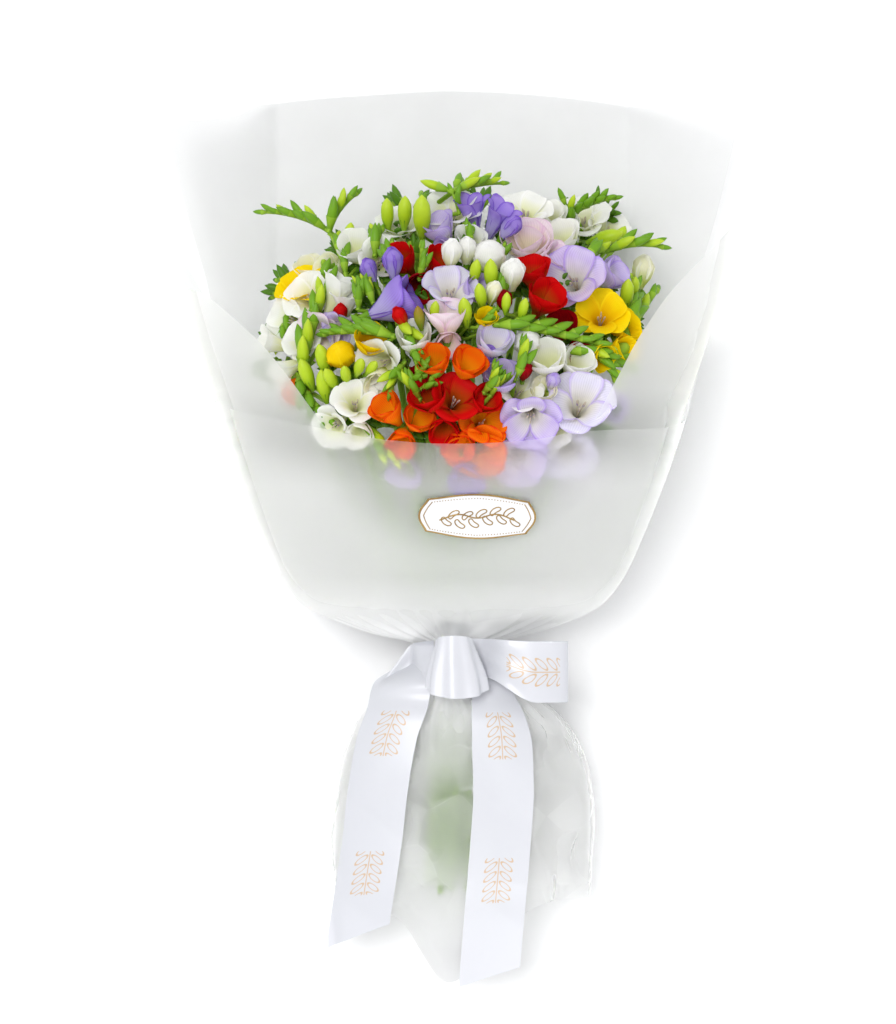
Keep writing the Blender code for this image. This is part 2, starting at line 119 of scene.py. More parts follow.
def profile(points):
    """A smooth function through (place, value) points that doesn't overshoot them."""
    places, values = np.array(points, float).T
    rises = np.diff(values) / np.diff(places)
    left, right = rises[:-1], rises[1:]
    same_way = left * right > 0
    total = np.where(same_way, left + right, 1.0)
    inner = np.where(same_way, 2 * left * right / total, 0.0)
    slopes = np.concatenate([rises[:1], inner, rises[-1:]])

    def value(place):
        k = np.clip(np.searchsorted(places, place) - 1, 0, len(places) - 2)
        step = places[k + 1] - places[k]
        t = np.clip((place - places[k]) / step, 0, 1)
        start = values[k] * (1 + 2 * t) * (1 - t) ** 2 + slopes[k] * step * t * (1 - t) ** 2
        return start + values[k + 1] * t * t * (3 - 2 * t) - slopes[k + 1] * step * t * t * (1 - t)

    return value


def ease(low, high, value):
    """0 below low, 1 above high, and smooth between."""
    t = np.clip((value - low) / (high - low), 0, 1)
    return t * t * (3 - 2 * t)


half_width, top, bottom, middle = (profile(points) for points in (HALF_WIDTH, TOP, BOTTOM, MIDDLE))
skirt_shift, back_half_width, top_edge = profile(SKIRT_SHIFT), profile(BACK_HALF_WIDTH), profile(TOP_EDGE)
outer_rim, inner_rim, outer_hem = profile(OUTER_RIM), profile(INNER_RIM), profile(OUTER_HEM)
print("the film is", 2 * half_width(216.0), "mm wide beside the flowers")

# %% [markdown]
# ## The film's cross-section
#
# Cut across, the wrapped bunch is round at the tie and squarer away from it, because film bulges
# where nothing pulls it in. A superellipse does this with one number, its power: 2 is an ellipse,
# and more is squarer. The back is squarer than the front, since it is pressed on the floor.

# %% Cross-section
ROUND_POWER, FRONT_SQUARER, BACK_SQUARER = 2.0, 0.3, 1.2
SQUARE_FROM, SQUARE_BY = 8, 40


def section(y, turn, depth):
    """The point (x, z) of a film that lies depth inside the outer one, at this turn in degrees."""
    across, up = np.cos(np.radians(turn)), np.sin(np.radians(turn))
    squarer = np.where(up > 0, FRONT_SQUARER, BACK_SQUARER)
    power = 2 / (ROUND_POWER + ease(SQUARE_FROM, SQUARE_BY, abs(y)) * squarer)
    rise = np.where(up > 0, top(y) - depth - middle(y), middle(y) - bottom(y) - depth)
    x = skirt_shift(y) + (half_width(y) - depth) * np.sign(across) * abs(across) ** power
    return x, middle(y) + rise * np.sign(up) * abs(up) ** power


def front_height(x, y):
    """How high the outer film's front lies at (x, y)."""
    power = ROUND_POWER + ease(SQUARE_FROM, SQUARE_BY, abs(y)) * FRONT_SQUARER
    part = np.minimum(abs(x - skirt_shift(y)) / half_width(y), 0.98)
    return middle(y) + (top(y) - middle(y)) * (1 - part**power) ** (1 / power)


print("the front is", round(float(front_height(0, 95)), 1), "mm high at the label")

# %% [markdown]
# ## A finish from nodes
#
# Every finish is procedural: no picture is wrapped on a piece. Nodes can be added and linked one by
# one, which takes many lines for a little arithmetic. `Finish` shortens this. It holds a material,
# and each node that it adds gives out a `Value`, on which plus, minus and times add math nodes.

# %% Values and finishes
class Value:
    """What a node gives out. Arithmetic on it adds math nodes, and [name] is another output."""

    def __init__(self, finish, node, output=0):
        self.finish, self.node, self.output = finish, node, output

    def __getitem__(self, output):
        return Value(self.finish, self.node, output)

    def __add__(self, other):
        return self.finish.math("ADD", self, other)

    def __sub__(self, other):
        return self.finish.math("SUBTRACT", self, other)

    def __rsub__(self, other):
        return self.finish.math("SUBTRACT", other, self)

    def __mul__(self, other):
        return self.finish.math("MULTIPLY", self, other)

    def __truediv__(self, other):
        return self.finish.math("DIVIDE", self, other)

    def __abs__(self):
        return self.finish.math("ABSOLUTE", self)


class Finish:
    """A material in the making. Its shader starts with a few numbers that are the same all over."""

    def __init__(self, name, numbers):
        self.material = bpy.data.materials.new(name)
        self.material.use_nodes = True
        self.tree = self.material.node_tree
        self.shader = Value(self, self.tree.nodes["Principled BSDF"])
        self.feed(self.shader.node, numbers)

    def feed(self, node, inputs):
        """Links each of a node's inputs to a value, or sets it to a number or a colour."""
        for name, given in inputs.items():
            socket = node.inputs[name]
            if isinstance(given, Value):
                self.tree.links.new(given.node.outputs[given.output], socket)
            elif socket.type == "RGBA":
                socket.default_value = (*given, 1)
            else:
                socket.default_value = given

    def add(self, kind, inputs=None, **settings):
        """A new node of a kind."""
        node = self.tree.nodes.new("ShaderNode" + kind)
        for setting, choice in settings.items():
            setattr(node, setting, choice)
        self.feed(node, inputs or {})
        return Value(self, node)

    def math(self, operation, *values):
        return self.add("Math", dict(enumerate(values)), operation=operation)

    def vector(self, operation, *values):
        return self.add("VectorMath", dict(enumerate(values)), operation=operation)

    def place(self):
        """Where a point of the piece is."""
        return self.add("TexCoord")["Object"]

    def uv(self):
        """How far across and how far along its piece a point is, from the piece's own UV map."""
        split = self.add("SeparateXYZ", {0: self.add("TexCoord")["UV"]})
        return split["X"], split["Y"]

    def noise(self, scale, detail=2.0):
        """Soft blotches, from 0 to 1."""
        return self.add("TexNoise", {"Scale": scale, "Detail": detail, "Vector": self.place()})["Fac"]

    def ramp(self, value, *stops):
        """A colour that changes with a value, from (place, colour) stops. A number is a grey."""
        ramp = self.add("ValToRGB", {"Fac": value})
        elements = ramp.node.color_ramp.elements
        while len(elements) < len(stops):
            elements.new(0.5)
        for element, (place, colour) in zip(elements, stops):
            element.position = place
            element.color = (*colour, 1) if isinstance(colour, tuple) else (colour, colour, colour, 1)
        return ramp["Color"]

    def blend(self, share, first, second, way="MIX"):
        """A colour between two, or two colours multiplied."""
        inputs = {"Factor": share, "A": first, "B": second}
        return self.add("Mix", inputs, data_type="RGBA", blend_type=way)["Result"]

    def mix(self, share, first, second):
        """A shader between two."""
        return self.add("MixShader", {"Fac": share, 1: first, 2: second})

    def show(self, shader):
        self.feed(self.tree.nodes["Material Output"], {"Surface": shader})
        return self.material

    def paint(self, colour, glow=0.0):
        """Gives the shader its colour, and passes a share of the light on softly."""
        self.feed(self.shader.node, {"Base Color": colour})
        if not glow:
            return self.material
        return self.show(self.mix(glow, self.shader, self.add("BsdfTranslucent", {"Color": colour})))


print("finishes can be made")

# %% [markdown]
# ## Petals and green parts
#
# A petal is thin and damp, so light from behind glows in it. It is one colour in the throat, another
# on the face and often darker at the edge. A painted picture could show this, but it would have to
# fit each petal. Shades that follow the petal's own UVs fit any, where U runs across it and V from
# its base to its tip. Buds and stems go through three greens in the same way.

# %% Petal and green finishes
def petal_finish(name, throat, face, edge, vein):
    """Throat colour at the base, then the face's, a shade at the edge, and fine veins along it."""
    finish = Finish(name, {"Roughness": 0.55, "Specular IOR Level": 0.08})
    u, v = finish.uv()
    rim = finish.math("MAXIMUM", abs(u - 0.5) * 1.9, v) + finish.noise(90) * 0.16
    along = finish.ramp(v, (0, throat), (0.3, throat), (0.55, face))
    shaded = finish.blend(finish.ramp(rim, (0.84, 0), (1.08, 1)), along, edge)
    waves = finish.math("SINE", u * 90) * finish.noise(150)
    veins = finish.ramp(waves, (0, 1), (0.55, 1 - vein))
    return finish.paint(finish.blend(1, shaded, veins, "MULTIPLY"), glow=0.35)


def green_finish(name, base, body, tip, roughness=0.4):
    """Three greens from base to tip, with soft lighter patches."""
    finish = Finish(name, {"Roughness": roughness, "Specular IOR Level": 0.25})
    along = finish.ramp(finish.uv()[1], (0.05, base), (0.5, body), (1, tip))
    return finish.paint(finish.blend(finish.noise(140) * 0.45, along, base), glow=0.15)


PETAL_COLOURS = {
    "white": ((0.88, 0.90, 0.55), (0.96, 0.955, 0.92), (0.97, 0.965, 0.95), 0.05),
    "cream": ((0.66, 0.74, 0.16), (0.95, 0.93, 0.70), (0.96, 0.95, 0.86), 0.06),
    "blush": ((0.92, 0.84, 0.66), (0.95, 0.84, 0.90), (0.90, 0.70, 0.84), 0.07),
    "violet": ((0.60, 0.52, 0.88), (0.42, 0.29, 0.80), (0.27, 0.14, 0.68), 0.16),
    "lavender": ((0.92, 0.90, 0.84), (0.70, 0.60, 0.90), (0.52, 0.38, 0.84), 0.12),
    "pale": ((0.92, 0.90, 0.80), (0.85, 0.82, 0.96), (0.68, 0.58, 0.90), 0.1),
    "red": ((0.55, 0.10, 0.005), (0.74, 0.006, 0.006), (0.62, 0.002, 0.005), 0.2),
    "crimson": ((0.36, 0.02, 0.01), (0.42, 0.002, 0.008), (0.28, 0.001, 0.006), 0.2),
    "orange": ((0.97, 0.42, 0.005), (0.98, 0.21, 0.004), (0.86, 0.05, 0.004), 0.12),
    "yellow": ((0.92, 0.60, 0.003), (0.99, 0.73, 0.003), (1.0, 0.78, 0.01), 0.04),
}
PETALS = {shade: petal_finish(f"{shade}_petal", *colours) for shade, colours in PETAL_COLOURS.items()}
STAMEN = petal_finish("stamen", (0.45, 0.35, 0.65), (0.70, 0.62, 0.50), (0.80, 0.75, 0.62), 0.1)
GREEN = green_finish("bud_green", (0.30, 0.52, 0.02), (0.15, 0.36, 0.015), (0.09, 0.24, 0.015))
# Green for the filler combs: their green painted darker, as painted shade between the flowers.
SHADED_FILLER_GREEN = green_finish("shaded_filler_green", (0.16, 0.34, 0.015), (0.08, 0.22, 0.01), (0.05, 0.14, 0.01))
LIME = green_finish("bud_lime", (0.20, 0.40, 0.015), (0.52, 0.70, 0.018), (0.66, 0.78, 0.06))
OLIVE = green_finish("bud_olive", (0.14, 0.18, 0.012), (0.30, 0.30, 0.02), (0.38, 0.14, 0.02))
STALK = green_finish("stalk_green", (0.20, 0.38, 0.02), (0.32, 0.54, 0.03), (0.38, 0.60, 0.05), 0.5)
print(len(PETALS), "petal finishes")

# %% [markdown]
# ## The film's finish
#
# Frosted film does three things at once. It scatters some light back, so it looks pale grey. It
# passes some through softly, so what is close behind it shows and what is far behind it blurs. A
# small share passes straight. One see-through shader would do only the last. Here very rough glass
# gives the blur, a transparent shader the straight share, and a pale surface covers the rest.
#
# Where the film is crushed it breaks into facets. Each cell of a Voronoi texture gets a slope of
# its own, and one side of each cell is painted darker and clearer than the other: painted shade in
# place of light falling on tilted facets. The lines between cells are the creases, painted whiter:
# partly the film's own whitened folds, partly painted highlight.

# %% Film finish
STEM_WINDOW = at(8, -104, 82)


def share_over(finish, length, reach, *stops):
    """A share that changes with a length in metres, from (mm, share) stops up to reach mm."""
    return finish.ramp(length * (1 / MM / reach), *((place / abs(reach), share) for place, share in stops))


def facets(finish, place):
    """The slope of crushed film within its facets, and how far a point is from a crease."""
    warp = finish.add("TexNoise", {"Scale": 12, "Vector": place})["Color"]
    moved = finish.vector("MULTIPLY_ADD", warp, (0.012, 0.012, 0.012), place)
    cells = finish.add("TexVoronoi", {"Scale": 30, "Vector": moved})
    edges = finish.add("TexVoronoi", {"Scale": 30, "Vector": moved}, feature="DISTANCE_TO_EDGE")
    from_middle = finish.vector("SUBTRACT", moved, cells["Position"])
    lean = finish.vector("SUBTRACT", cells["Color"], (0.5, 0.5, 0.5))
    return finish.vector("DOT_PRODUCT", from_middle, lean)["Value"], edges["Distance"]


def film_finish(name, dark, light, see_through, clearer, passed, fading=0.0):
    """Frosted film between two whites, with a share that passes light on.

    Near the tie its pleats lie on each other, so less shows through. At the front flowers it
    touches them, so it is clearer there, and so it is where the stems press on it. Below the tie it is
    crushed, with painted shade on one side of each facet and creases painted whiter, partly as painted
    highlight. Where its edge lies flat against the outer film, which is in front of it, that edge can
    fade, because it can't be made out there.
    """
    finish = Finish(name, {"Roughness": 0.4, "Specular IOR Level": 0.3})
    place = finish.place()
    height = finish.add("SeparateXYZ", {0: place})["Y"] - TIE.y
    crushed = share_over(finish, height, -100, (15, 0), (50, 1))
    gathered = share_over(finish, abs(height), 100, (20, 1), (55, 0))
    touching = share_over(finish, height, 200, (114, 0), (140, 1), (156, 1), (176, 0))
    hem = share_over(finish, height, -200, (152, 0), (196, 1))
    to_stems = finish.vector("DISTANCE", place, STEM_WINDOW)["Value"]
    window = share_over(finish, to_stems, 50, (15, 1), (42.5, 0))

    slope, edge = facets(finish, place)
    # Painted shade: one side of each crushed facet is darker, and clearer, in place of light on tilted
    # facets.
    shade = finish.math("MINIMUM", finish.math("MAXIMUM", (slope * 30 + 0.45) * crushed, 0), 1)
    broken = finish.ramp(finish.noise(40), (0.45, 0), (0.7, 1))
    # Creases painted whiter: partly the film's own whitened folds, partly painted highlight.
    crease = finish.ramp(edge, (0, 1), (0.02, 0)) * broken * (crushed * 0.6)
    cloud = finish.ramp(finish.noise(30, 3), (0.3, dark), (0.7, light))
    cloud = finish.blend(shade * 0.8, cloud, tuple(0.9 * part for part in dark))
    cloud = finish.blend(crease, cloud, (0.98, 0.98, 0.98))
    cloud = finish.blend(hem, cloud, (0.72, 0.72, 0.72))
    finish.paint(cloud)

    covered = finish.math("MAXIMUM", crease, gathered * 0.75)
    share = (shade * 0.3 + touching * clearer + window * 0.2 + see_through) * (1 - covered) * (1 - hem * 0.5)
    at_edge = finish.ramp(finish.uv()[1], (0.84, 0), (0.99, 1))
    faded = at_edge * share_over(finish, height, 200, (140, 1), (154, 0)) * fading
    kept = 1 - faded
    tint = (passed, passed, passed)
    clear = finish.add("BsdfTransparent", {"Color": tint})
    blur = finish.add("BsdfGlass", {"Color": tint, "Roughness": 1, "IOR": 1.1}, distribution="MULTI_GGX")
    soft = finish.add("BsdfTranslucent", {"Color": cloud})
    surface = finish.mix(0.42 - gathered * 0.25, finish.shader, soft)
    passing = finish.mix(kept * 0.78, clear, blur)
    return finish.show(finish.mix(share * kept + faded, surface, passing))


WHITES = (0.93, 0.93, 0.925), (0.96, 0.96, 0.955)
FILM = film_finish("frosted_film", *WHITES, 0.46, 0.34, 0.985)
INNER_FILM = film_finish("inner_frosted_film", *WHITES, 0.46, 0.34, 0.985, fading=1.0)
# The back sheet is the same frosted film, painted darker as painted shade.
BACK_FILM_SHADED = film_finish("back_film", (0.80, 0.80, 0.798), (0.84, 0.84, 0.84), 0.45, 0.0, 0.95)
print("film finishes made")

# %% [markdown]
# ## Grids that are bent into shape
#
# Film, ribbon and petals are thin, and each starts as a flat sheet. They could be modelled with
# cloth physics, which is slow and gives another result with each change. A grid that a formula
# bends is quick and always the same. `shaped_grid` adds one and moves each of its points to where
# a function puts it, from two numbers between 0 and 1: how far across the sheet and how far along.

# %% Selecting, bending and naming
def pick(*pieces):
    """Selects these pieces and nothing else, with the first of them active."""
    bpy.ops.object.select_all(action="DESELECT")
    for piece in pieces:
        piece.select_set(True)
    if pieces:
        bpy.context.view_layer.objects.active = pieces[0]


def shaped_grid(name, columns, rows, place, material, from_tie=True):
    """A grid whose points place(across, along) puts, in mm from the tie, or as they are."""
    pick()
    bpy.ops.mesh.primitive_grid_add(x_subdivisions=columns, y_subdivisions=rows, size=2)
    sheet = bpy.context.object
    sheet.name = sheet.data.name = name
    flat = np.empty(len(sheet.data.vertices) * 3, np.float32)
    sheet.data.vertices.foreach_get("co", flat)
    flat = flat.reshape(-1, 3).astype(float)
    points = np.stack(place((flat[:, 0] + 1) / 2, (flat[:, 1] + 1) / 2), axis=1)
    if from_tie:
        points = points * MM + np.array((TIE.x, TIE.y, 0))
    sheet.data.vertices.foreach_set("co", points.astype(np.float32).ravel())
    sheet.data.update()
    sheet.data.materials.append(material)
    bpy.ops.object.shade_smooth()
    return sheet


def area_of(sheet):
    return sum(face.area for face in sheet.data.polygons)


def settle(piece, node=None):
    """Ties a piece to the one body, in the place of its node in the solid model if it has one."""
    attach(piece, "root")
    if node:
        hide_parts(node)
    return piece


print("grids can be bent")

# %% [markdown]
# ## The film
#
# The outer and inner films wrap the whole bunch and meet under its back. The third is a tall sheet
# behind the flowers. All are drawn in at the tie, so they fall into pleats that fade as the film
# opens out, and below the tie a hand has crushed them, which gives creases. Sculpting would give
# these too, but a formula keeps three sheets one inside the next. The pleats are a zigzag about
# the bunch. The creases are where a smooth noise crosses zero.

# %% Pleats and creases
PLEATS = 30
FROM_TURN, FULL_TURN = -87, 354
COLLAR_EDGE = 8.5
ROWS_FROM, ROWS_TO = -36, 42
ROWS_BELOW, ROWS_NEAR, ROWS_ABOVE = 0.34, 0.34, 0.32
BROAD_CREASE, FINE_CREASE = 52, 27
BROAD_DEPTH, FINE_DEPTH = 9.0, 1.8


def pleat(turn, seed):
    """A zigzag about the bunch, with pleats of unlike width."""
    wander = 7 * np.sin(np.radians(turn * 3 + seed * 40)) + 4 * np.sin(np.radians(turn * 7 + seed * 90))
    return abs(((turn + wander) * PLEATS / 360 + seed) % 1 * 2 - 1)


def crumple(x, y, z, size, seed):
    """Sharp creases between broad faces, as in crushed film: 0 on a crease, up to 1."""
    points = (Vector((a / size + seed, b / size, c / size)) for a, b, c in zip(x, y, z))
    return np.minimum(np.array([abs(noise.noise(point)) for point in points]) * 2.0, 1.0)


def wrap_rows(along, hem, rim):
    """Distances from the tie, with more rows near it."""
    near_end = ROWS_BELOW + ROWS_NEAR
    below = hem + (ROWS_FROM - hem) * along / ROWS_BELOW
    near = ROWS_FROM + (ROWS_TO - ROWS_FROM) * (along - ROWS_BELOW) / ROWS_NEAR
    above = ROWS_TO + (rim - ROWS_TO) * (along - near_end) / ROWS_ABOVE
    return np.where(along < ROWS_BELOW, below, np.where(along < near_end, near, above))


def film_point(turn, y, depth, collar, seed):
    """A point of film: pleated near the tie, crushed below it and smooth above."""
    gathered = 1 - ease(COLLAR_EDGE, 16, abs(y))
    skirt = ease(14, 60, -y) * (1 - 0.75 * abs(np.cos(np.radians(turn))) ** 6)
    pleated = np.where(y > 0, 1 - ease(9, 34, y), 1 - ease(14, 80, -y))
    fold = pleat(turn, seed) * pleated
    inward = depth + gathered * (collar - depth) + fold * (1.4 + 2.2 * ease(9, 30, abs(y)))
    x, z = section(y, turn, depth)
    broad = crumple(x, y, z, BROAD_CREASE, seed * 9) * BROAD_DEPTH
    inward = inward + skirt * (broad + crumple(x, y, z, FINE_CREASE, seed * 5 + 3) * FINE_DEPTH)
    x, z = section(y, turn, inward)
    slope = (half_width(y + 1) - half_width(y - 1)) / 2
    return x, y + inward * slope / np.hypot(1, slope), np.maximum(z, depth + 0.3)


print(PLEATS, "pleats at the tie")


# %% The three sheets
def outer_place(across, along):
    turn = FROM_TURN + FULL_TURN * across
    return film_point(turn, wrap_rows(along, outer_hem(turn), outer_rim(turn)), 0.2, 0.2, 0.2)


def inner_place(across, along):
    """The inner film, whose right flap has a double fold slanting along it."""
    turn = FROM_TURN + FULL_TURN * across
    y = wrap_rows(along, -152.0, inner_rim(turn))
    x, y, z = film_point(turn, y, 2.6, 3.6, 0.7)
    from_fold = turn - 12 - (225 - y) * 0.32
    fold = 2.4 * np.exp(-((from_fold / 3.5) ** 2)) + 1.2 * np.exp(-(((from_fold - 8) / 3.0) ** 2))
    return x, y, z + fold * ease(140, 175, y) * (1 - ease(250, 285, y))


PANEL_FROM, PANEL_MIDDLE, PANEL_RISE = 118, 120, 0.6


def back_place(across, along):
    """A trough below the flowers, and a flat sheet above them whose side panels turn forward."""
    side = across * 2 - 1
    y = wrap_rows(along, -148.0, top_edge(side))
    trough_x, trough_y, trough_z = film_point(270 + 109.2 * side, y, 5.0, 7.0, 1.3)
    flat = ease(125, 260, y)
    sheet_x = back_half_width(y) * side
    near_fold = np.maximum(4 - abs(abs(sheet_x) - PANEL_MIDDLE), 0)
    forward = np.maximum(abs(sheet_x) - PANEL_FROM, 0) - 0.5 * near_fold
    sway = 1.2 * np.sin(sheet_x / 21 + y / 60) * ease(150, 260, y)
    sheet_z = 5.0 * (1 - ease(165, 235, y)) + 0.5 + abs(sway) + np.maximum(forward, 0) * PANEL_RISE
    return trough_x + flat * (sheet_x - trough_x), trough_y, trough_z + flat * (sheet_z - trough_z)


outer = shaped_grid("outer_film", 220, 110, outer_place, FILM)
inner = shaped_grid("inner_film", 200, 100, inner_place, INNER_FILM)
back = shaped_grid("back_film", 150, 120, back_place, BACK_FILM_SHADED)
for sheet, node in ((outer, "outer_wrap"), (inner, "inner_wrap"), (back, "back_sheet")):
    settle(sheet, node)
    print(sheet.name, "area", round(area_of(sheet), 4), "square metres")

# %% [markdown]
# ## A petal
#
# A freesia is a funnel of six petals in two whorls of three. A petal could be cut from a plane by
# hand, but then each kind of bloom would need its own. Here one small grid is bent by three
# profiles: how far from the axis each part of it is, how high, and how wide. Near the base it curls
# round the axis like a tube. Higher up it opens and lies almost flat.

# %% One petal
TUBE_ENDS, OPEN_FROM = 0.45, 0.8


def petal(reach, height, width, curl=0.016, ruffle=0.3, columns=8, rows=13):
    """One petal that leans out along +X, in mm, from its three profiles over 0 to 1."""
    reach_at, height_at, width_at = profile(reach), profile(height), profile(width)

    def place(across, along):
        v = 1 - (1 - along) ** 1.7
        side = (across * 2 - 1) * width_at(v)
        out, up = reach_at(v), height_at(v)
        d_out, d_up = reach_at(v + 0.02) - reach_at(v - 0.02), height_at(v + 0.02) - height_at(v - 0.02)
        length = np.hypot(d_out, d_up) + 1e-6
        tube_part = 1 - ease(TUBE_ENDS, OPEN_FROM, v)
        wrap = np.maximum(0.5 / np.maximum(out, 1.5), curl) * tube_part + curl * (1 - tube_part)
        lift = np.minimum(wrap * side**2, 1.2 + out) + ruffle * np.sin(across * 9 + v * 5) * v**3
        return out - lift * d_up / length, side, up + lift * d_out / length

    return shaped_grid("petal", columns, rows, place, PETALS["white"], from_tie=False)


def join(parts, name):
    pick(*parts)
    bpy.ops.object.join()
    parts[0].name = parts[0].data.name = name
    return parts[0]


def copy_of(template, matrix):
    made = template.copy()
    made.data = template.data.copy()
    made.data.transform(matrix)
    bpy.context.collection.objects.link(made)
    return made


def turned(degrees, axis="Z"):
    return Matrix.Rotation(math.radians(degrees), 4, axis)


def stretched(x, y, z):
    return Matrix.Diagonal((x, y, z, 1))


def raised(z):
    return Matrix.Translation((0, 0, z))


print("petals can be made")

# %% [markdown]
# ## Blooms
#
# Six petals, a few stamens and a green sleeve at the foot make a bloom. Blooms open from the base
# of a spike to its tip, so no two look the same. Modelling each would take days. Six kinds are
# made once, from a shut bud to a wide open cup, and every flower is a copy of one of them, with
# its own size, turn and ripples.

# %% Stamens, sleeves and whorls
def whorls(one, rings):
    """Whorls of three copies of a petal about Z: each is (turn, how wide, how tall)."""
    parts = []
    for first, wide, tall in rings:
        for turn in (first, first + 120, first + 240):
            parts.append(copy_of(one, turned(turn) @ stretched(wide, (wide + 2) / 3, tall)))
    bpy.data.objects.remove(one)
    return parts


def stamens(height, count=3):
    """Filaments with long anthers, and the style between them."""
    parts = []
    for k in range(count + 1):
        lean = 0.16 if k < count else 0.02
        pick()
        bpy.ops.mesh.primitive_cone_add(vertices=4, radius1=0.5, radius2=0.35, depth=height * 0.6)
        thread = bpy.context.object
        thread.data.transform(raised(height * 0.3))
        bpy.ops.mesh.primitive_uv_sphere_add(segments=5, ring_count=4, radius=1)
        anther = bpy.context.object
        anther.data.transform(raised(height * 0.66) @ stretched(0.9, 0.6, 3.0))
        for part in (thread, anther):
            part.data.transform(raised(height * 0.42) @ (turned(120 * k) @ Matrix.Rotation(lean, 4, "Y")))
            part.data.materials.append(STAMEN)
            parts.append(part)
    return parts


def sheath(low, high, foot, mouth, sides, material):
    """A green sleeve round the foot of a bloom or a bud."""
    pick()
    bpy.ops.mesh.primitive_cone_add(
        vertices=sides, radius1=foot, radius2=mouth, depth=high - low, end_fill_type="NOTHING"
    )
    sleeve = bpy.context.object
    sleeve.data.transform(raised((low + high) / 2))
    sleeve.data.materials.append(material)
    bpy.ops.object.shade_smooth()
    return sleeve


def bloom(name, reach, height, width, rings, with_stamens=0, **shape):
    parts = whorls(petal(reach, height, width, **shape), rings)
    if with_stamens:
        parts += stamens(with_stamens)
    return join([*parts, sheath(0.5, 8.5, 1.5, 3.0, 7, GREEN)], name)


# %% The six kinds of bloom
BLOOMS = {
    "open": bloom(
        "open_bloom", ((0, 0.8), (0.2, 2.0), (0.4, 4.6), (0.55, 8.0), (0.72, 13.0), (0.88, 17.0), (1, 19.5)),
        ((0, 0), (0.2, 9), (0.4, 17), (0.55, 22), (0.72, 26), (0.88, 28.2), (1, 28.4)),
        ((0, 1.2), (0.2, 2.4), (0.4, 5.0), (0.6, 8.6), (0.74, 9.8), (0.84, 9.2), (0.92, 7.2), (0.97, 4.8),
         (1, 0.6)),
        ((0, 1.0, 0.98), (60, 0.88, 1.04)), with_stamens=22, ruffle=0.4, curl=0.03,
    ),
    "cup": bloom(
        "cup_bloom", ((0, 0.8), (0.2, 2.0), (0.4, 5.0), (0.6, 8.6), (0.8, 11.2), (1, 13.0)),
        ((0, 0), (0.2, 8), (0.4, 15), (0.6, 21), (0.8, 27), (1, 32.5)),
        ((0, 1.2), (0.2, 2.6), (0.4, 5.8), (0.6, 8.8), (0.76, 9.6), (0.86, 8.8), (0.93, 6.8), (0.975, 4.2),
         (1, 0.6)),
        ((0, 1.0, 0.95), (60, 0.8, 1.0)), curl=0.05, ruffle=0.3,
    ),
    "full": bloom(
        "full_bloom", ((0, 0.8), (0.2, 2.4), (0.4, 7.0), (0.6, 12.0), (0.8, 15.0), (1, 15.5)),
        ((0, 0), (0.2, 7), (0.4, 13), (0.6, 18), (0.8, 23.5), (1, 28)),
        ((0, 1.2), (0.2, 3.0), (0.4, 7.4), (0.6, 10.8), (0.76, 11.6), (0.86, 10.6), (0.93, 8.2), (0.975, 5.0),
         (1, 0.8)),
        ((0, 1.0, 0.94), (60, 0.8, 1.0), (25, 0.45, 0.96)), curl=0.055, ruffle=0.3,
    ),
    "star": bloom(
        "star_bloom", ((0, 0.8), (0.25, 2.6), (0.45, 4.8), (0.65, 7.0), (0.85, 10.5), (1, 14.5)),
        ((0, 0), (0.25, 11), (0.45, 20), (0.65, 28), (0.85, 34.5), (1, 38)),
        ((0, 1.2), (0.25, 2.8), (0.45, 4.6), (0.65, 6.2), (0.82, 6.2), (0.92, 4.6), (0.97, 2.8), (1, 0.5)),
        ((0, 1.0, 1.0), (60, 0.8, 0.98)), curl=0.05,
    ),
    "egg": bloom(
        "egg_bloom", ((0, 0.8), (0.2, 4.0), (0.45, 9.2), (0.7, 9.4), (0.88, 5.8), (1, -1.0)),
        ((0, 0), (0.2, 3.6), (0.45, 10), (0.7, 17), (0.88, 21.5), (1, 23.4)),
        ((0, 1.4), (0.2, 5.0), (0.45, 10.0), (0.7, 10.4), (0.9, 7.4), (1, 2.4)),
        ((0, 1.0, 0.97), (60, 0.92, 1.0)), curl=0.055, ruffle=0.3,
    ),
    "shut": bloom(
        "shut_bloom", ((0, 0.8), (0.3, 2.6), (0.55, 5.8), (0.8, 6.0), (0.93, 3.2), (1, -0.6)),
        ((0, 0), (0.3, 9), (0.55, 16.5), (0.8, 23.5), (0.93, 27), (1, 28.6)),
        ((0, 1.2), (0.3, 2.8), (0.55, 6.2), (0.8, 6.8), (0.93, 5.0), (1, 2.4)),
        ((0, 1.0, 0.96), (60, 0.9, 1.0)), curl=0.08, ruffle=0.2, columns=6, rows=9,
    ),
}
for kind, template in BLOOMS.items():
    print(kind, len(template.data.polygons), "faces")

# %% [markdown]
# ## Buds
#
# A freesia bud is a spindle in a green sleeve. A cone or a stretched ball would be too plain, so a
# ball's rings are moved out to an outline instead. The small green bud goes on the combs, hundreds
# of times, so it has only a few faces. The long one stands alone and is finer.

# %% Two buds
def spindle(name, segments, rings, length, outline, material):
    """A bud that stands on the origin, with the radius that outline gives from foot to tip."""
    pick()
    bpy.ops.mesh.primitive_uv_sphere_add(segments=segments, ring_count=rings, radius=1)
    bud = bpy.context.object
    bud.name = bud.data.name = name
    radius_at = profile(outline)
    for point in bud.data.vertices:
        part = (point.co.z + 1) / 2
        around = math.hypot(point.co.x, point.co.y)
        grown = float(radius_at(part)) / around if 0.02 < part < 0.98 else 0.0
        point.co = (point.co.x * grown, point.co.y * grown, length * part)
    bud.data.materials.append(material)
    bpy.ops.object.shade_smooth()
    return bud


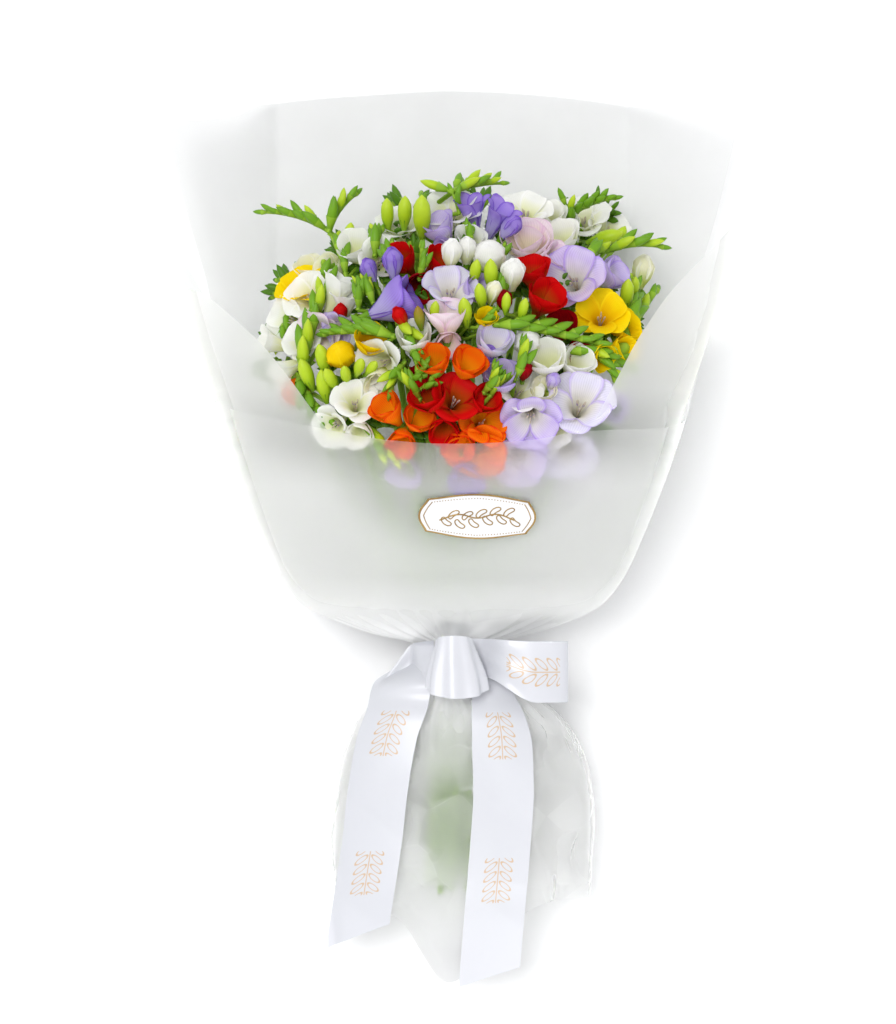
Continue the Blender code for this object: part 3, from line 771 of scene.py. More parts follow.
GREEN_OUTLINE = ((0, 0.8), (0.15, 1.3), (0.45, 2.3), (0.7, 2.0), (0.9, 0.9), (1, 0))
LONG_OUTLINE = ((0, 1.4), (0.2, 3.0), (0.5, 4.7), (0.75, 4.2), (0.92, 2.0), (1, 0))
small = spindle("green_bud", 7, 7, 14, GREEN_OUTLINE, GREEN)
BUD = join([small, sheath(0, 5.4, 1.2, 2.6, 6, STALK)], "green_bud")
long = spindle("long_bud", 10, 9, 24, LONG_OUTLINE, LIME)
LONG_BUD = join([long, sheath(0, 8, 1.5, 3.9, 8, GREEN)], "long_bud")
print("a small bud has", len(BUD.data.polygons), "faces")

# %% [markdown]
# ## Where each freesia stands
#
# In a round bunch the flowers lie on a dome, pressed side by side, and the stems run from them to
# the tie. They could be placed by hand and would then cut through each other. Instead each freesia
# has a wanted place on the dome, and all are pushed apart a little at a time until none presses on
# a neighbour. The stems are packed round each other inside the tie in the same way.

# %% The dome and the packing
FREESIAS = (
    ("white", -59, 267), ("white", -26, 295), ("violet", 20, 292), ("pink", 51, 282), ("white", 93, 293),
    ("lavender", 85, 249), ("red", -22, 255), ("white", 13, 256), ("red", 57, 237), ("violet", -41, 229),
    ("yellow", -102, 243), ("pink", -2, 221), ("white", -76, 232), ("yellow", 103, 221), ("white", -111, 201),
    ("yellow", -64, 197), ("white", -31, 200), ("orange", 2, 188), ("lavender", 38, 174), ("white", 63, 194),
    ("lavender", 87, 165), ("white", -63, 162), ("orange", -31, 152), ("red", 6, 156),
)
FOCUS = Vector((0, -STEM_FOCUS, WAIST_HEIGHT))
DOME_HEIGHT, DOME_HALF_WIDTH, DOME_FROM, DOME_LENGTH = 182.0, 160.0, 150.0, 168.0
PUSHES, PACKING_STEPS, DRAWN_IN_STEPS, DRAWN_IN = 200, 700, 500, 0.985


def dome(x, y):
    """The height of the middle of the flowers over (x, y)."""
    beyond = (max(y, DOME_FROM) - DOME_FROM) / DOME_LENGTH
    return DOME_HEIGHT * math.sqrt(max(1 - (x / DOME_HALF_WIDTH) ** 2 - beyond**2, 0.04))


def on_dome(x, y, lift):
    """The point that is this far above the dome over (x, y)."""
    return Vector((x, y, dome(x, y) + lift))


def place_blooms():
    centres = [on_dome(x, y, 0) for _, x, y in FREESIAS]
    apart, beside = 2 * BLOOM_RADIUS + 0.6, BLOOM_RADIUS + STEM_RADIUS + 1.0
    for _ in range(PUSHES):
        for i, here in enumerate(centres):
            for j, there in enumerate(centres):
                if i < j and (there - here).length < apart:
                    push = (there - here).normalized() * (apart - (there - here).length) * 0.5
                    centres[i] -= push
                    centres[j] += push
                along = (there - FOCUS).normalized()
                reach = (here - FOCUS).dot(along)
                away = here - FOCUS - along * reach
                if i != j and reach < (there - FOCUS).length and away.length < beside:
                    push = away.normalized() * (beside - away.length) * 0.5
                    centres[i] += push
                    centres[j] -= push
    return centres


def pack_stems(centres):
    spots = [Vector((c.x, c.z - WAIST_HEIGHT)) * STEM_FOCUS / (c.y + STEM_FOCUS) for c in centres]
    mean = sum(spots, Vector((0, 0))) / len(spots)
    spots = [spot - mean for spot in spots]
    pitch = 2 * STEM_RADIUS + GAP
    for step in range(PACKING_STEPS):
        if step < DRAWN_IN_STEPS:
            spots = [spot * DRAWN_IN for spot in spots]
        for i, here in enumerate(spots):
            for j in range(i + 1, len(spots)):
                between = spots[j] - here
                if between.length < pitch:
                    push = between.normalized() * (pitch - between.length) * 0.5
                    spots[i] = spots[i] - push
                    spots[j] = spots[j] + push
                    here = spots[i]
    return spots


def stem_points(spot, centre, until):
    """A stem's route: splayed and twisted below the tie, and straight to its flower above it."""
    stations = [*STEM_STATIONS, (STEM_STATIONS[-1] + until) / 2, until]
    points = []
    for y in stations:
        below = min(y, 0.0) / STEM_STATIONS[0]
        tied = Matrix.Rotation(TWIST_BELOW * below, 2) @ spot * (1 + SPLAY_BELOW * below)
        reach = (max(y, 0.0) + STEM_FOCUS) / (centre.y + STEM_FOCUS)
        free = Vector((centre.x, centre.z - WAIST_HEIGHT)) * reach
        leave = float(ease(0, STEM_STATIONS[-1], y))
        x, z = tied * (1 - leave) + free * leave
        points.append(Vector((x, y, WAIST_HEIGHT + z)))
    return points


centres = place_blooms()
spots = pack_stems(centres)
print("stems are packed within", round(max(spot.length for spot in spots) + STEM_RADIUS, 1), "mm")

# %% [markdown]
# ## Stems
#
# A cut stem is a waxy round rod. It could be a cylinder that is bent by a modifier. A curve with a
# round bevel follows any line with fewer steps, so each stem is one, turned into a mesh. Cut stems
# are never one length, so each ends at its own place.

# %% Twenty-four stems
def meshed(name, curve):
    """Adds a curve to the scene and turns it into a mesh."""
    made = bpy.data.objects.new(name, curve)
    bpy.context.collection.objects.link(made)
    pick(made)
    bpy.ops.object.convert(target="MESH")
    return bpy.context.object


def tube(name, points, radii, material, sides=1):
    """A round bar through points in mm from the tie, with a radius at each."""
    curve = bpy.data.curves.new(name, "CURVE")
    curve.dimensions = "3D"
    curve.bevel_depth = MM
    curve.bevel_resolution = sides
    curve.use_fill_caps = True
    spline = curve.splines.new("POLY")
    spline.points.add(len(points) - 1)
    for end, point, radius in zip(spline.points, points, radii):
        end.co = (*at(*point), 1)
        end.radius = radius
    curve.materials.append(material)
    return meshed(name, curve)


def smooth_line(points, steps=3):
    """More points on a smooth line through the given ones."""
    curves = [profile([(k, p[axis]) for k, p in enumerate(points)]) for axis in range(3)]
    places = np.linspace(0, len(points) - 1, (len(points) - 1) * steps + 1)
    return [tuple(float(c(k)) for c in curves) for k in places]


FOOT_BELOW_BLOOM, DRAWN_RADIUS = 9, 2.15
anchors = []
for number, (centre, spot) in enumerate(zip(centres, spots), 1):
    foot = centre - (centre - FOCUS).normalized() * (BLOOM_RADIUS + FOOT_BELOW_BLOOM)
    anchors.append(foot)
    line = smooth_line(stem_points(spot, centre, foot.y))
    cut = number * 7 % 24
    line[0] = tuple(low + (high - low) * cut / 24 for low, high in zip(line[0], line[1]))
    stem = tube(f"green_stem_{number:02d}", line, [DRAWN_RADIUS] * len(line), STALK, 2)
    settle(stem, f"stem_{number:02d}")
print(len(anchors), "stems made")

# %% [markdown]
# ## The twine
#
# Twine goes round the stems a few times before the film is wrapped on. A helix would be truer, but
# its ends would have to be hidden, and it lies under the film. Four rings side by side look the same.

# %% Four turns of twine
TWINE_RADIUS, TWINE_INSET, TWINE_PITCH = 1.3, 1.2, 3
fibres = Finish("twine", {"Roughness": 0.9})
strands = fibres.math("SINE", fibres.noise(500, 3) * 20)
TWINE = fibres.paint(fibres.ramp(strands, (0.1, (0.16, 0.2, 0.07)), (0.9, (0.42, 0.45, 0.25))))
tie_radius = (tie_high.x - tie_low.x) / 2 / MM
rings = []
for k in range(4):
    pick()
    bpy.ops.mesh.primitive_torus_add(
        location=at(0, (k - 1.5) * TWINE_PITCH, WAIST_HEIGHT), rotation=(math.radians(90), 0, 0),
        major_radius=(tie_radius - TWINE_INSET) * MM, minor_radius=TWINE_RADIUS * MM,
        major_segments=48, minor_segments=8,
    )
    bpy.ops.object.transform_apply(location=True, rotation=True, scale=True)
    bpy.ops.object.shade_smooth()
    rings.append(bpy.context.object)
twine = join(rings, "twine_tie")
twine.data.materials.append(TWINE)
settle(twine, "stem_tie")
print("twine made of", len(twine.data.polygons), "faces")

# %% [markdown]
# ## What each freesia carries
#
# A freesia's spike bends over at its first flower, so its open flowers and its comb of green buds
# lie along the top of the bunch. They could be scattered at random, but a florist turns each stem
# to show its best side. So every flower has a row of its own here: its shape, its colour, where it
# is over the ground in mm, how far above the dome, its size, the way it points over the ground (0
# right, 90 away from the tie) and how far it tilts up. A comb's row has its two ends, each with its
# height above the dome, how far it bends to one side, how many buds it has, and their size.

# %% Flowers, buds and combs
HEADS = (
    # 1 to 5: the back row, with long combs of green buds against the film
    [("cup", "white", -61, 264, 0, 1.05, 110, 50), ("open", "white", -47, 258, -2, 0.9, 60, 55),
     ("bud", "lime", -68, 274, 8, 0.8, 80, 30), ("cup", "cream", -75, 252, -6, 0.9, 150, 40),
     ("comb", -68, 248, 6, -81, 282, 30, 2, 5, 1.2), ("comb", -81, 282, 30, -124, 295, 46, 6, 9, 1.15),
     ("comb", -81, 280, 30, -64, 306, 50, -5, 6, 1.35)],
    [("bud", "lime", -42, 286, 12, 0.95, 92, 20), ("bud", "lime", -31, 286, 14, 1.0, 88, 20),
     ("bud", "lime", -19.5, 281, 14, 1.3, 90, 25), ("open", "white", -33, 281, -8, 0.95, 95, 35),
     ("open", "white", 0, 290, 4, 1.1, 95, 40), ("comb", 5, 292, 14, 0, 306, 42, 1, 3, 1.0),
     ("comb", 0, 306, 42, -9, 311, 48, 0, 2, 1.35), ("comb", 1, 306, 42, 6, 315, 50, 0, 2, 1.35),
     ("comb", 0, 306, 42, 33, 314, 48, -3, 7, 1.2), ("comb", -20, 292, 14, -20, 301, 30, 1, 2, 0.9),
     ("comb", -50, 262, 8, -46, 280, 12, -1, 5, 1.25)],
    [("star", "violet", 14, 287, 4, 0.95, 100, 25), ("star", "violet", 27, 283, 6, 0.95, 65, 28),
     ("cup", "lavender", -5, 276, 2, 0.95, 120, 30), ("shut", "violet", 33, 276, 6, 0.9, 50, 25),
     ("cup", "lavender", 2, 266, 0, 0.85, 190, 40), ("comb", 12, 268, 4, 8, 284, 12, 1, 4, 0.9)],
    [("full", "blush", 50, 270, 4, 1.2, 100, 55), ("open", "white", 48, 291, 4, 1.0, 90, 40),
     ("cup", "white", 65, 288, 0, 0.9, 80, 45), ("cup", "blush", 62, 262, 4, 0.8, 20, 50)],
    [("open", "white", 88, 290, 4, 1.1, 95, 42), ("cup", "white", 74, 272, 2, 1.0, 110, 48),
     ("open", "white", 104, 285, -2, 0.9, 60, 42), ("bud", "lime", 96, 278, 16, 1.1, 14, 20),
     ("cup", "white", 78, 284, -2, 0.9, 120, 50), ("comb", 79, 286, 6, 74, 303, 40, 2, 3, 1.35),
     ("comb", 78, 294, 24, 106, 304, 46, -4, 8, 1.25)],
    # 6 to 9: the second row
    [("open", "lavender", 79, 246, 10, 1.2, 120, 62), ("cup", "lavender", 100, 250, 6, 0.95, 30, 30),
     ("comb", 84, 260, 10, 102, 270, 26, -2, 4, 1.4), ("comb", 101, 269, 25, 138, 273, 36, -5, 7, 1.4),
     ("bud", "lime", 109, 275, 18, 0.85, 62, 20)],
    [("cup", "red", -30, 256, 2, 0.9, 130, 45), ("cup", "red", -12, 256, 2, 0.85, 45, 45),
     ("cup", "crimson", -20, 245, 0, 0.9, -90, 60), ("comb", -21, 246, 12, -20, 267, 20, 1, 6, 1.0),
     ("shut", "red", -29, 215, 15, 0.75, 125, 30), ("bud", "olive", -20, 216, 18, 0.75, 100, 30),
     ("bud", "lime", -12, 220, 17, 0.7, 80, 30),
     ("comb", -37, 250, 8, -39, 270, 10, -2, 5, 1.2)],
    [("egg", "white", 24, 258, 8, 1.05, 95, 45), ("shut", "white", -1, 254, 8, 1.0, 85, 28),
     ("shut", "white", 9, 258, 6, 0.9, 88, 30), ("shut", "white", 37, 239, 8, 1.15, 82, 32),
     ("cup", "white", 12, 268, -4, 0.9, 90, 50), ("comb", 30, 258, 4, 34, 270, 6, 1, 3, 0.9)],
    [("cup", "red", 53, 246, 8, 1.0, 100, 35), ("cup", "red", 57, 229, 10, 1.05, 60, 45),
     ("shut", "crimson", 34, 226, 8, 0.75, 95, 40), ("cup", "crimson", 72, 213, -2, 0.85, 100, 60),
     ("cup", "crimson", 80, 203, -2, 0.9, -60, 55), ("comb", 26, 216, 18, 99, 203, 20, -3, 12, 1.4),
     ("bud", "lime", 44, 222, 20, 0.7, 75, 25), ("bud", "lime", 34, 226, 20, 0.65, 85, 25)],
    # 10 to 14: the middle row
    [("cup", "violet", -42, 227, 13, 1.35, 24, 12), ("shut", "violet", -37, 247, 10, 1.0, 95, 22),
     ("shut", "violet", -50, 246, 8, 0.8, 115, 20), ("open", "lavender", -70, 217, 8, 0.7, 215, 40),
     ("comb", -50, 230, 14, -62, 244, 14, 3, 8, 1.0), ("comb", -60, 226, 14, -54, 245, 16, -2, 7, 1.1)],
    [("open", "yellow", -95, 240, 4, 1.0, 115, 40), ("open", "white", -91, 234, 8, 0.95, 140, 50),
     ("open", "white", -103, 220, 2, 0.95, 170, 45), ("cup", "cream", -92, 251, -2, 0.85, 100, 40),
     ("comb", -107, 238, 10, -117, 206, 8, -6, 9, 1.3), ("comb", -88, 240, 8, -84, 260, 12, 1, 3, 1.35)],
    [("open", "pale", -1, 236, 6, 1.0, 80, 50), ("cup", "blush", -4, 214, 12, 1.1, 92, 30),
     ("cup", "blush", -5, 206, 4, 0.75, -60, 60), ("cup", "lavender", 11, 238, 2, 0.85, 20, 50),
     ("bud", "lime", 14, 246, 14, 0.8, 80, 30), ("bud", "lime", 25, 243, 14, 1.0, 92, 30),
     ("bud", "lime", 19, 230, 14, 0.85, 100, 35), ("bud", "lime", 9, 219, 14, 0.95, 98, 35),
     ("shut", "cream", 24, 230, 8, 0.85, 70, 35), ("cup", "yellow", 21, 217, 11, 0.6, 80, 50),
     ("comb", 30, 226, 8, 29, 246, 12, 1, 4, 1.2), ("comb", 16, 214, 10, 24, 224, 14, 1, 4, 1.0)],
    [("star", "white", -77, 232, 10, 1.05, 68, 12), ("open", "blush", -82, 212, 4, 0.9, 200, 50),
     ("shut", "red", -72, 219, 4, 0.7, 90, 40), ("star", "white", -70, 224, 4, 0.8, 80, 20),
     ("comb", -96, 184, 10, -78, 246, 20, -4, 10, 1.7)],
    [("open", "yellow", 96, 222, 10, 1.0, 90, 62), ("cup", "yellow", 108, 216, 4, 0.85, 20, 42),
     ("cup", "yellow", 92, 200, 8, 0.8, -30, 48), ("cup", "yellow", 106, 201, 4, 0.8, 10, 45),
     ("shut", "cream", 125, 247, 8, 1.15, 78, 22), ("bud", "lime", 114, 234, 12, 1.0, 85, 30),
     ("bud", "lime", 119, 240, 10, 0.8, 80, 30),
     ("comb", 108, 192, 10, 137, 245, 10, -4, 10, 1.7), ("comb", 112, 216, 12, 119, 252, 14, 3, 7, 1.4)],
    # 15 to 20: the lower middle row
    [("star", "white", -112, 205, 6, 0.8, 165, 20), ("star", "white", -102, 192, 6, 0.8, 205, 22),
     ("cup", "orange", -98, 180, -6, 0.8, 240, 35), ("open", "white", -93, 206, 2, 0.85, 130, 50),
     ("bud", "lime", -91, 180, 8, 1.0, 112, 25), ("bud", "lime", -81, 172, 6, 1.0, 100, 25)],
    [("egg", "yellow", -70, 195, 8, 0.9, 110, 62), ("cup", "yellow", -54, 202, 8, 0.95, 60, 55),
     ("bud", "lime", -60, 186, 14, 0.75, 70, 50), ("bud", "lime", -67, 181, 12, 0.75, 100, 50),
     ("bud", "lime", -75, 178, 10, 0.85, 120, 40), ("bud", "lime", -53, 186, 12, 0.7, 50, 50),
     ("bud", "lime", -81, 189, 10, 1.0, 105, 28), ("comb", -36, 208, 20, -80, 211, 14, 4, 10, 1.35)],
    [("cup", "white", -23, 202, 8, 0.95, 100, 45), ("open", "white", -42, 193, 6, 0.95, 200, 50),
     ("cup", "cream", -44, 184, 2, 0.85, 250, 45), ("comb", -36, 222, 12, -22, 188, 18, -3, 7, 1.4),
     ("comb", -30, 192, 12, -38, 176, 12, 2, 5, 1.2), ("comb", -28, 178, 12, -18, 190, 16, 1, 6, 1.0)],
    [("cup", "orange", -9, 188, 12, 0.95, 115, 50), ("cup", "orange", 8, 186, 10, 0.95, 62, 50),
     ("cup", "crimson", -16, 180, 8, 0.75, 160, 55), ("comb", -20, 174, 14, -12, 184, 16, 2, 5, 1.0)],
    [("cup", "pale", 25, 200, 6, 0.95, 75, 50), ("cup", "violet", 21, 193, 2, 0.6, 80, 40),
     ("cup", "lavender", 32, 177, 6, 1.0, 100, 50), ("open", "white", 42, 172, 2, 0.85, 60, 60),
     ("comb", 40, 180, 16, 44, 203, 18, 1, 6, 1.4), ("comb", 20, 172, 14, 26, 188, 16, 2, 7, 1.0)],
    [("cup", "white", 61, 189, 10, 1.05, 100, 50), ("egg", "white", 48, 203, 8, 0.85, 90, 60),
     ("cup", "white", 77, 188, 4, 0.95, 60, 50), ("shut", "crimson", 45, 182, 8, 0.75, 80, 60),
     ("comb", 72, 200, 8, 114, 190, 8, -4, 10, 1.4), ("comb", 84, 206, 8, 104, 184, 10, -3, 7, 1.3)],
    # 21 to 24: the front row, at the film's rim, and what shows through the film below it
    [("open", "pale", 81, 164, 14, 1.2, 78, 66), ("open", "lavender", 50, 158, 8, 1.05, -95, 62),
     ("cup", "lavender", 99, 164, -9, 0.85, 10, 50), ("shut", "lavender", 62, 176, 10, 0.65, 70, 50),
     ("cup", "cream", 58, 170, 6, 0.75, 90, 55), ("open", "pale", 74, 138, -13, 1.1, -85, 55),
     ("open", "lavender", 42, 134, -13, 1.1, -92, 55), ("cup", "white", 66, 152, 2, 0.8, -90, 55)],
    [("open", "white", -62, 165, 8, 0.85, 80, 64), ("open", "white", -74, 153, 4, 0.8, 215, 50),
     ("cup", "white", -58, 150, 2, 0.8, -100, 55), ("bud", "lime", -48, 146, 2, 0.75, -60, 30),
     ("comb", -100, 186, 4, -80, 158, 4, 3, 7, 1.5), ("comb", -52, 146, 2, -34, 132, 0, 2, 5, 1.2)],
    [("cup", "orange", -38, 158, 8, 0.9, 130, 42), ("cup", "orange", -23, 153, 6, 0.85, 60, 60),
     ("cup", "orange", -31, 146, 0, 0.85, -100, 45), ("comb", -20, 168, 12, -34, 182, 14, 2, 7, 1.1)],
    [("cup", "red", -12, 165, 10, 1.05, 120, 52), ("open", "red", 1, 166, 8, 0.95, 60, 60),
     ("cup", "red", -6, 152, 4, 0.8, -80, 55), ("cup", "red", 18, 164, 8, 0.85, 50, 50),
     ("open", "orange", 19, 153, 1, 0.9, 40, 72), ("cup", "orange", 4, 144, -4, 0.9, -90, 50),
     ("open", "orange", 16, 140, -6, 1.1, -88, 56), ("cup", "violet", 9, 124, -18, 1.0, -90, 55),
     ("cup", "lavender", -30, 128, -24, 0.95, -95, 50),
     ("comb", 24, 170, 12, 34, 180, 14, -2, 6, 1.0)],
)
print(sum(len(rows) for rows in HEADS), "flowers, buds and combs")

# %% [markdown]
# ## The flower heads
#
# Real petals of one kind differ in size and are never quite flat. Copies of a bloom would look
# stamped, so each copy is rolled at random about its axis and then rippled with noise. Both the
# random numbers and the noise get a seed, or each run would make another bunch. A comb is a curved
# stalk with two ranks of buds on its outer side, which shrink towards its tip.

# %% Standing a copy in its place
RIPPLE, RIPPLE_DEPTH, SEED = 45, 1.4, 11
random = np.random.default_rng(SEED)
noise.seed_set(SEED)


def aim(turn, tilt):
    """The direction that points this way over the ground and tilts up by this much, in degrees."""
    turn, tilt = math.radians(turn), math.radians(tilt)
    return Vector((math.cos(turn) * math.cos(tilt), math.sin(turn) * math.cos(tilt), math.sin(tilt)))


def stand(template, foot, way, size, material, ripple=0.0):
    """A copy of a template with its foot at a point in mm and its axis along a direction."""
    roll = Matrix.Rotation(random.uniform(0, 6.28), 4, "Z")
    facing = way.to_track_quat("Z", "Y").to_matrix().to_4x4() @ roll
    made = copy_of(template, Matrix.Translation(at(*foot)) @ facing @ stretched(*[size * MM] * 3))
    made.data.materials[0] = material
    if ripple:
        seed = Vector(random.uniform(-50, 50, 3))
        for point in made.data.vertices:
            point.co += noise.noise_vector(point.co * RIPPLE + seed) * ripple * MM
    return made


def comb(start, end, bend, count, size, material=None):
    """An arching stalk between two points, with buds on its outer side."""
    side = (end - start).cross(Vector((0, 0, 1))).normalized() * (1 if bend > 0 else -1)
    peak = (start + end) / 2 + side * abs(bend) + Vector((0, 0, 4))

    def along(t):
        return start * (1 - t) ** 2 + peak * 2 * t * (1 - t) + end * t * t

    line = [along(t) for t in np.linspace(0, 1, 7)]
    parts = [tube("stalk", line, np.linspace(1.7, 0.9, 7) * size**0.5, STALK, 0)]
    for k in range(count):
        t = (k + 0.6) / count
        way = ((peak - start) * (1 - t) + (end - peak) * t).normalized()
        lean = 0.05 if k == count - 1 else 0.52 + random.uniform(-0.12, 0.12)
        outer_rank = k % 2
        out = side * (0.95 if outer_rank else 0.25) + Vector((0, 0, 0.25 if outer_rank else 0.9))
        way = way * math.cos(lean) + out.normalized() * math.sin(lean)
        grown = size * (1.15 - 0.55 * t) * random.uniform(0.9, 1.1)
        shade = GREEN if random.random() < 0.8 else LIME
        parts.append(stand(BUD, along(t), way, grown, material or shade))
    return parts


print("copies can be stood in place")


# %% Heads
GREENS = {"green": GREEN, "lime": LIME, "olive": OLIVE}
FOOT_BEHIND = {"open": 21, "cup": 17, "full": 17, "star": 20, "shut": 8, "egg": 8, "bud": 6}


def flower(core, kind, shade, x, y, lift, size, turn, tilt):
    """A bloom or a long bud, with the neck that joins it to the middle of its head."""
    way = aim(turn, tilt)
    foot = on_dome(x, y, lift) - way * FOOT_BEHIND[kind] * size
    if kind == "bud":
        made = stand(LONG_BUD, foot, way, size, GREENS[shade])
    else:
        made = stand(BLOOMS[kind], foot, way, size, PETALS[shade], RIPPLE_DEPTH)
    bend = (core + foot) / 2 - way * 4
    return [made, tube("neck", [core, bend, foot + way], [1.6, 1.5, 1.6], STALK, 0)]


def bud_comb(core, along, x1, y1, lift1, x2, y2, lift2, *shape):
    """A comb between two points above the dome, with its neck."""
    start = on_dome(x1, y1, lift1)
    made = comb(start, on_dome(x2, y2, lift2), *shape)
    return [*made, tube("neck", [core, (core + start) / 2 + along * 3, start], [1.6, 1.4, 1.3], STALK)]


def shaded_filler_collar(centre):
    """Six short combs under the flowers, painted dark green as shade, which fill the gaps between them."""
    parts = []
    for k in range(6):
        turn = 60 * k + random.uniform(0, 50)
        start, tip = centre + aim(turn, 10) * 5, centre + aim(turn, 25) * 18
        start.z, tip.z = dome(start.x, start.y) - 20, dome(tip.x, tip.y) - (13 if k % 2 else 7)
        # These combs take the dark green that is painted shade between the flowers.
        parts += comb(start, tip, 2, 5, 1.2, SHADED_FILLER_GREEN)
    return parts


heads = []
for number, (rows, (colour, _, _), centre, anchor) in enumerate(zip(HEADS, FREESIAS, centres, anchors), 1):
    along = (centre - FOCUS).normalized()
    core = centre - along * 12
    parts = [tube("core", [anchor, core], [2.1, 1.8], STALK)]
    for kind, *row in rows:
        parts += bud_comb(core, along, *row) if kind == "comb" else flower(core, kind, *row)
    parts += shaded_filler_collar(centre)
    head = join(parts, f"freesia_{number:02d}_{colour}")
    heads.append(settle(head, f"flowers_{number:02d}_{colour}"))
for template in (*BLOOMS.values(), BUD, LONG_BUD):
    bpy.data.objects.remove(template)
print(len(heads), "heads with", sum(len(head.data.polygons) for head in heads), "faces")

# %% [markdown]
# ## Satin
#
# Satin's threads run one way, so it shines along its folds and darkens where it turns from the eye.
# Here that sheen and shade are painted into its colour: painted sheen where the ribbon faces the
# camera, painted shade where it turns away.
# Its gold print could be a picture. It is a plain sprig of leaves instead, drawn with a little
# arithmetic on the ribbon's own UVs, so that it stays sharp and follows every fold. Folding x over
# at the stem line draws both sides at once, and a ping-pong along the ribbon repeats the leaves.

# %% Satin finish
# Satin colours: painted sheen where the ribbon faces the camera, painted shade where it turns away.
SATIN_PAINTED_SHEEN, SATIN_PAINTED_HALF_SHADE, SATIN_PAINTED_SHADE = (0.67, 0.675, 0.715), (0.62, 0.63, 0.67), (0.48, 0.49, 0.54)
GOLD = (0.62, 0.38, 0.16)
LEAF_PITCH, LEAF_SLANT, LEAF_OUT = 3.2, 0.7, 5.2
LEAF_HALF_LENGTH, LEAF_HALF_WIDTH, OUTLINE_AT, OUTLINE_WIDTH = 4.4, 2.3, 0.85, 0.13
SPRIG_HALF_LENGTH, STEM_LINE = 15, 0.35


def sprig(finish, x, y):
    """1 on the lines of a sprig of leaves about (0, 0), in mm along the ribbon, and 0 elsewhere."""
    out = abs(x)
    across = (out - LEAF_OUT) / LEAF_HALF_LENGTH
    down = finish.math("PINGPONG", y - out * LEAF_SLANT, LEAF_PITCH) / LEAF_HALF_WIDTH
    from_leaf = finish.math("SQRT", finish.math("POWER", across, 2) + finish.math("POWER", down, 2))
    outline = finish.math("LESS_THAN", abs(from_leaf - OUTLINE_AT), OUTLINE_WIDTH)
    drawn = finish.math("MAXIMUM", outline, finish.math("LESS_THAN", out, STEM_LINE))
    return drawn * finish.math("LESS_THAN", abs(y), SPRIG_HALF_LENGTH)


def satin(name, length=1.0, prints=()):
    """Satin with painted sheen and shade, and a gold sprig printed at each place along it, in mm."""
    numbers = {"Roughness": 0.3, "Specular IOR Level": 0.7, "Sheen Weight": 0.3, "Anisotropic": 0.5}
    finish = Finish(name, numbers)
    u, v = finish.uv()
    threads = finish.math("SINE", u * 700)
    # Painted sheen and shade from how squarely the ribbon faces the camera, with fine thread lines.
    painted_sheen_with_threads = finish.add("LayerWeight", {"Blend": 0.35})["Facing"] + threads * 0.03
    colour = finish.ramp(painted_sheen_with_threads, (0, SATIN_PAINTED_SHEEN), (0.35, SATIN_PAINTED_HALF_SHADE), (0.9, SATIN_PAINTED_SHADE))
    for place in prints:
        mark = sprig(finish, (u - 0.5) * RIBBON_WIDTH, v * length - place)
        colour = finish.blend(mark * 0.75, colour, GOLD)
    return finish.paint(colour, glow=0.12)


PLAIN_SATIN = satin("ribbon_satin")
print("satin finishes can be made")

# %% [markdown]
# ## The ribbon's tails
#
# A bow is one length of ribbon, but its parts lie in unlike ways, so each is a sheet of its own. A
# tail comes from under the roll, rises over a fold and lies down the skirt. It could be dropped on
# it with cloth physics. A line down its middle, with its height taken from the film below it, gives
# the same in one step.

# %% Two tails and the turn between them
LEFT_TAIL = ((-19, -2), (-26, -8), (-33, -17), (-36, -32), (-43, -52), (-49, -86), (-53, -121), (-58, -154),
             (-63, -186))
RIGHT_TAIL = ((18, -8), (24, -16), (28, -27), (31, -40), (33, -54), (34, -88), (32, -122), (29, -160),
              (25, -214))
LEFT_WIDTHS = ((2, 9), (8, 13), (17, 19), (26, 20), (200, 20))
RIGHT_WIDTHS = ((8, 10), (20, 13), (40, 18), (60, 20), (220, 20))
FOLD_AT, FOLD_LENGTH, LAID_ABOVE = 17, 7, 1.6


def tail_place(line, widths, crest, slant):
    """A tail down a line of (x, y) points, with half widths, a fold this high and a slanted end."""
    middle_x = profile([(-y, x) for x, y in line])
    width_at = profile(widths)
    start, end = line[0][1], line[-1][1]

    def place(across, along):
        side = across * 2 - 1
        y = start + (end - start) * along + slant * side * along**6
        x = middle_x(-y) + side * width_at(-y)
        lie = np.maximum(np.maximum(front_height(x, y - 7), front_height(x, y + 7)), front_height(x, y))
        wave = 1.4 * np.sin(y / 23 + x / 30) * ease(40, 90, -y)
        fold = crest * np.exp(-(((y + FOLD_AT) / FOLD_LENGTH) ** 2))
        curl = 1.2 * side**2 * ease(30, 80, -y)
        return x, y, lie + LAID_ABOVE + abs(wave) + fold + curl

    return place


def fold_place(across, along):
    """The ribbon that comes from the knot and turns under at the left, over the left tail."""
    upper = profile(((0, 12), (0.35, 10), (0.7, -4), (1, -19)))(along)
    lower = profile(((0, -13), (0.35, -14), (0.7, -17), (1, -24)))(along)
    x = -12 - 36 * along - 3 * (1 - across) * along
    y = lower + (upper - lower) * across
    z = front_height(x, y) + 8.5 - 2.5 * along + 1.2 * np.sin(across * 7 + along * 3) * (1 - along)
    return x, y, np.minimum(z, 86.0)


def ribbon(name, node, grid, place, material, length, width=0.04):
    """A sheet of ribbon in the place of its node, if it has one, with its area printed over the size that it
    is cut to in metres.
    """
    piece = settle(shaped_grid(name, *grid, place, material), node)
    print(name, "area over flat", round(area_of(piece) / (width * length), 2))


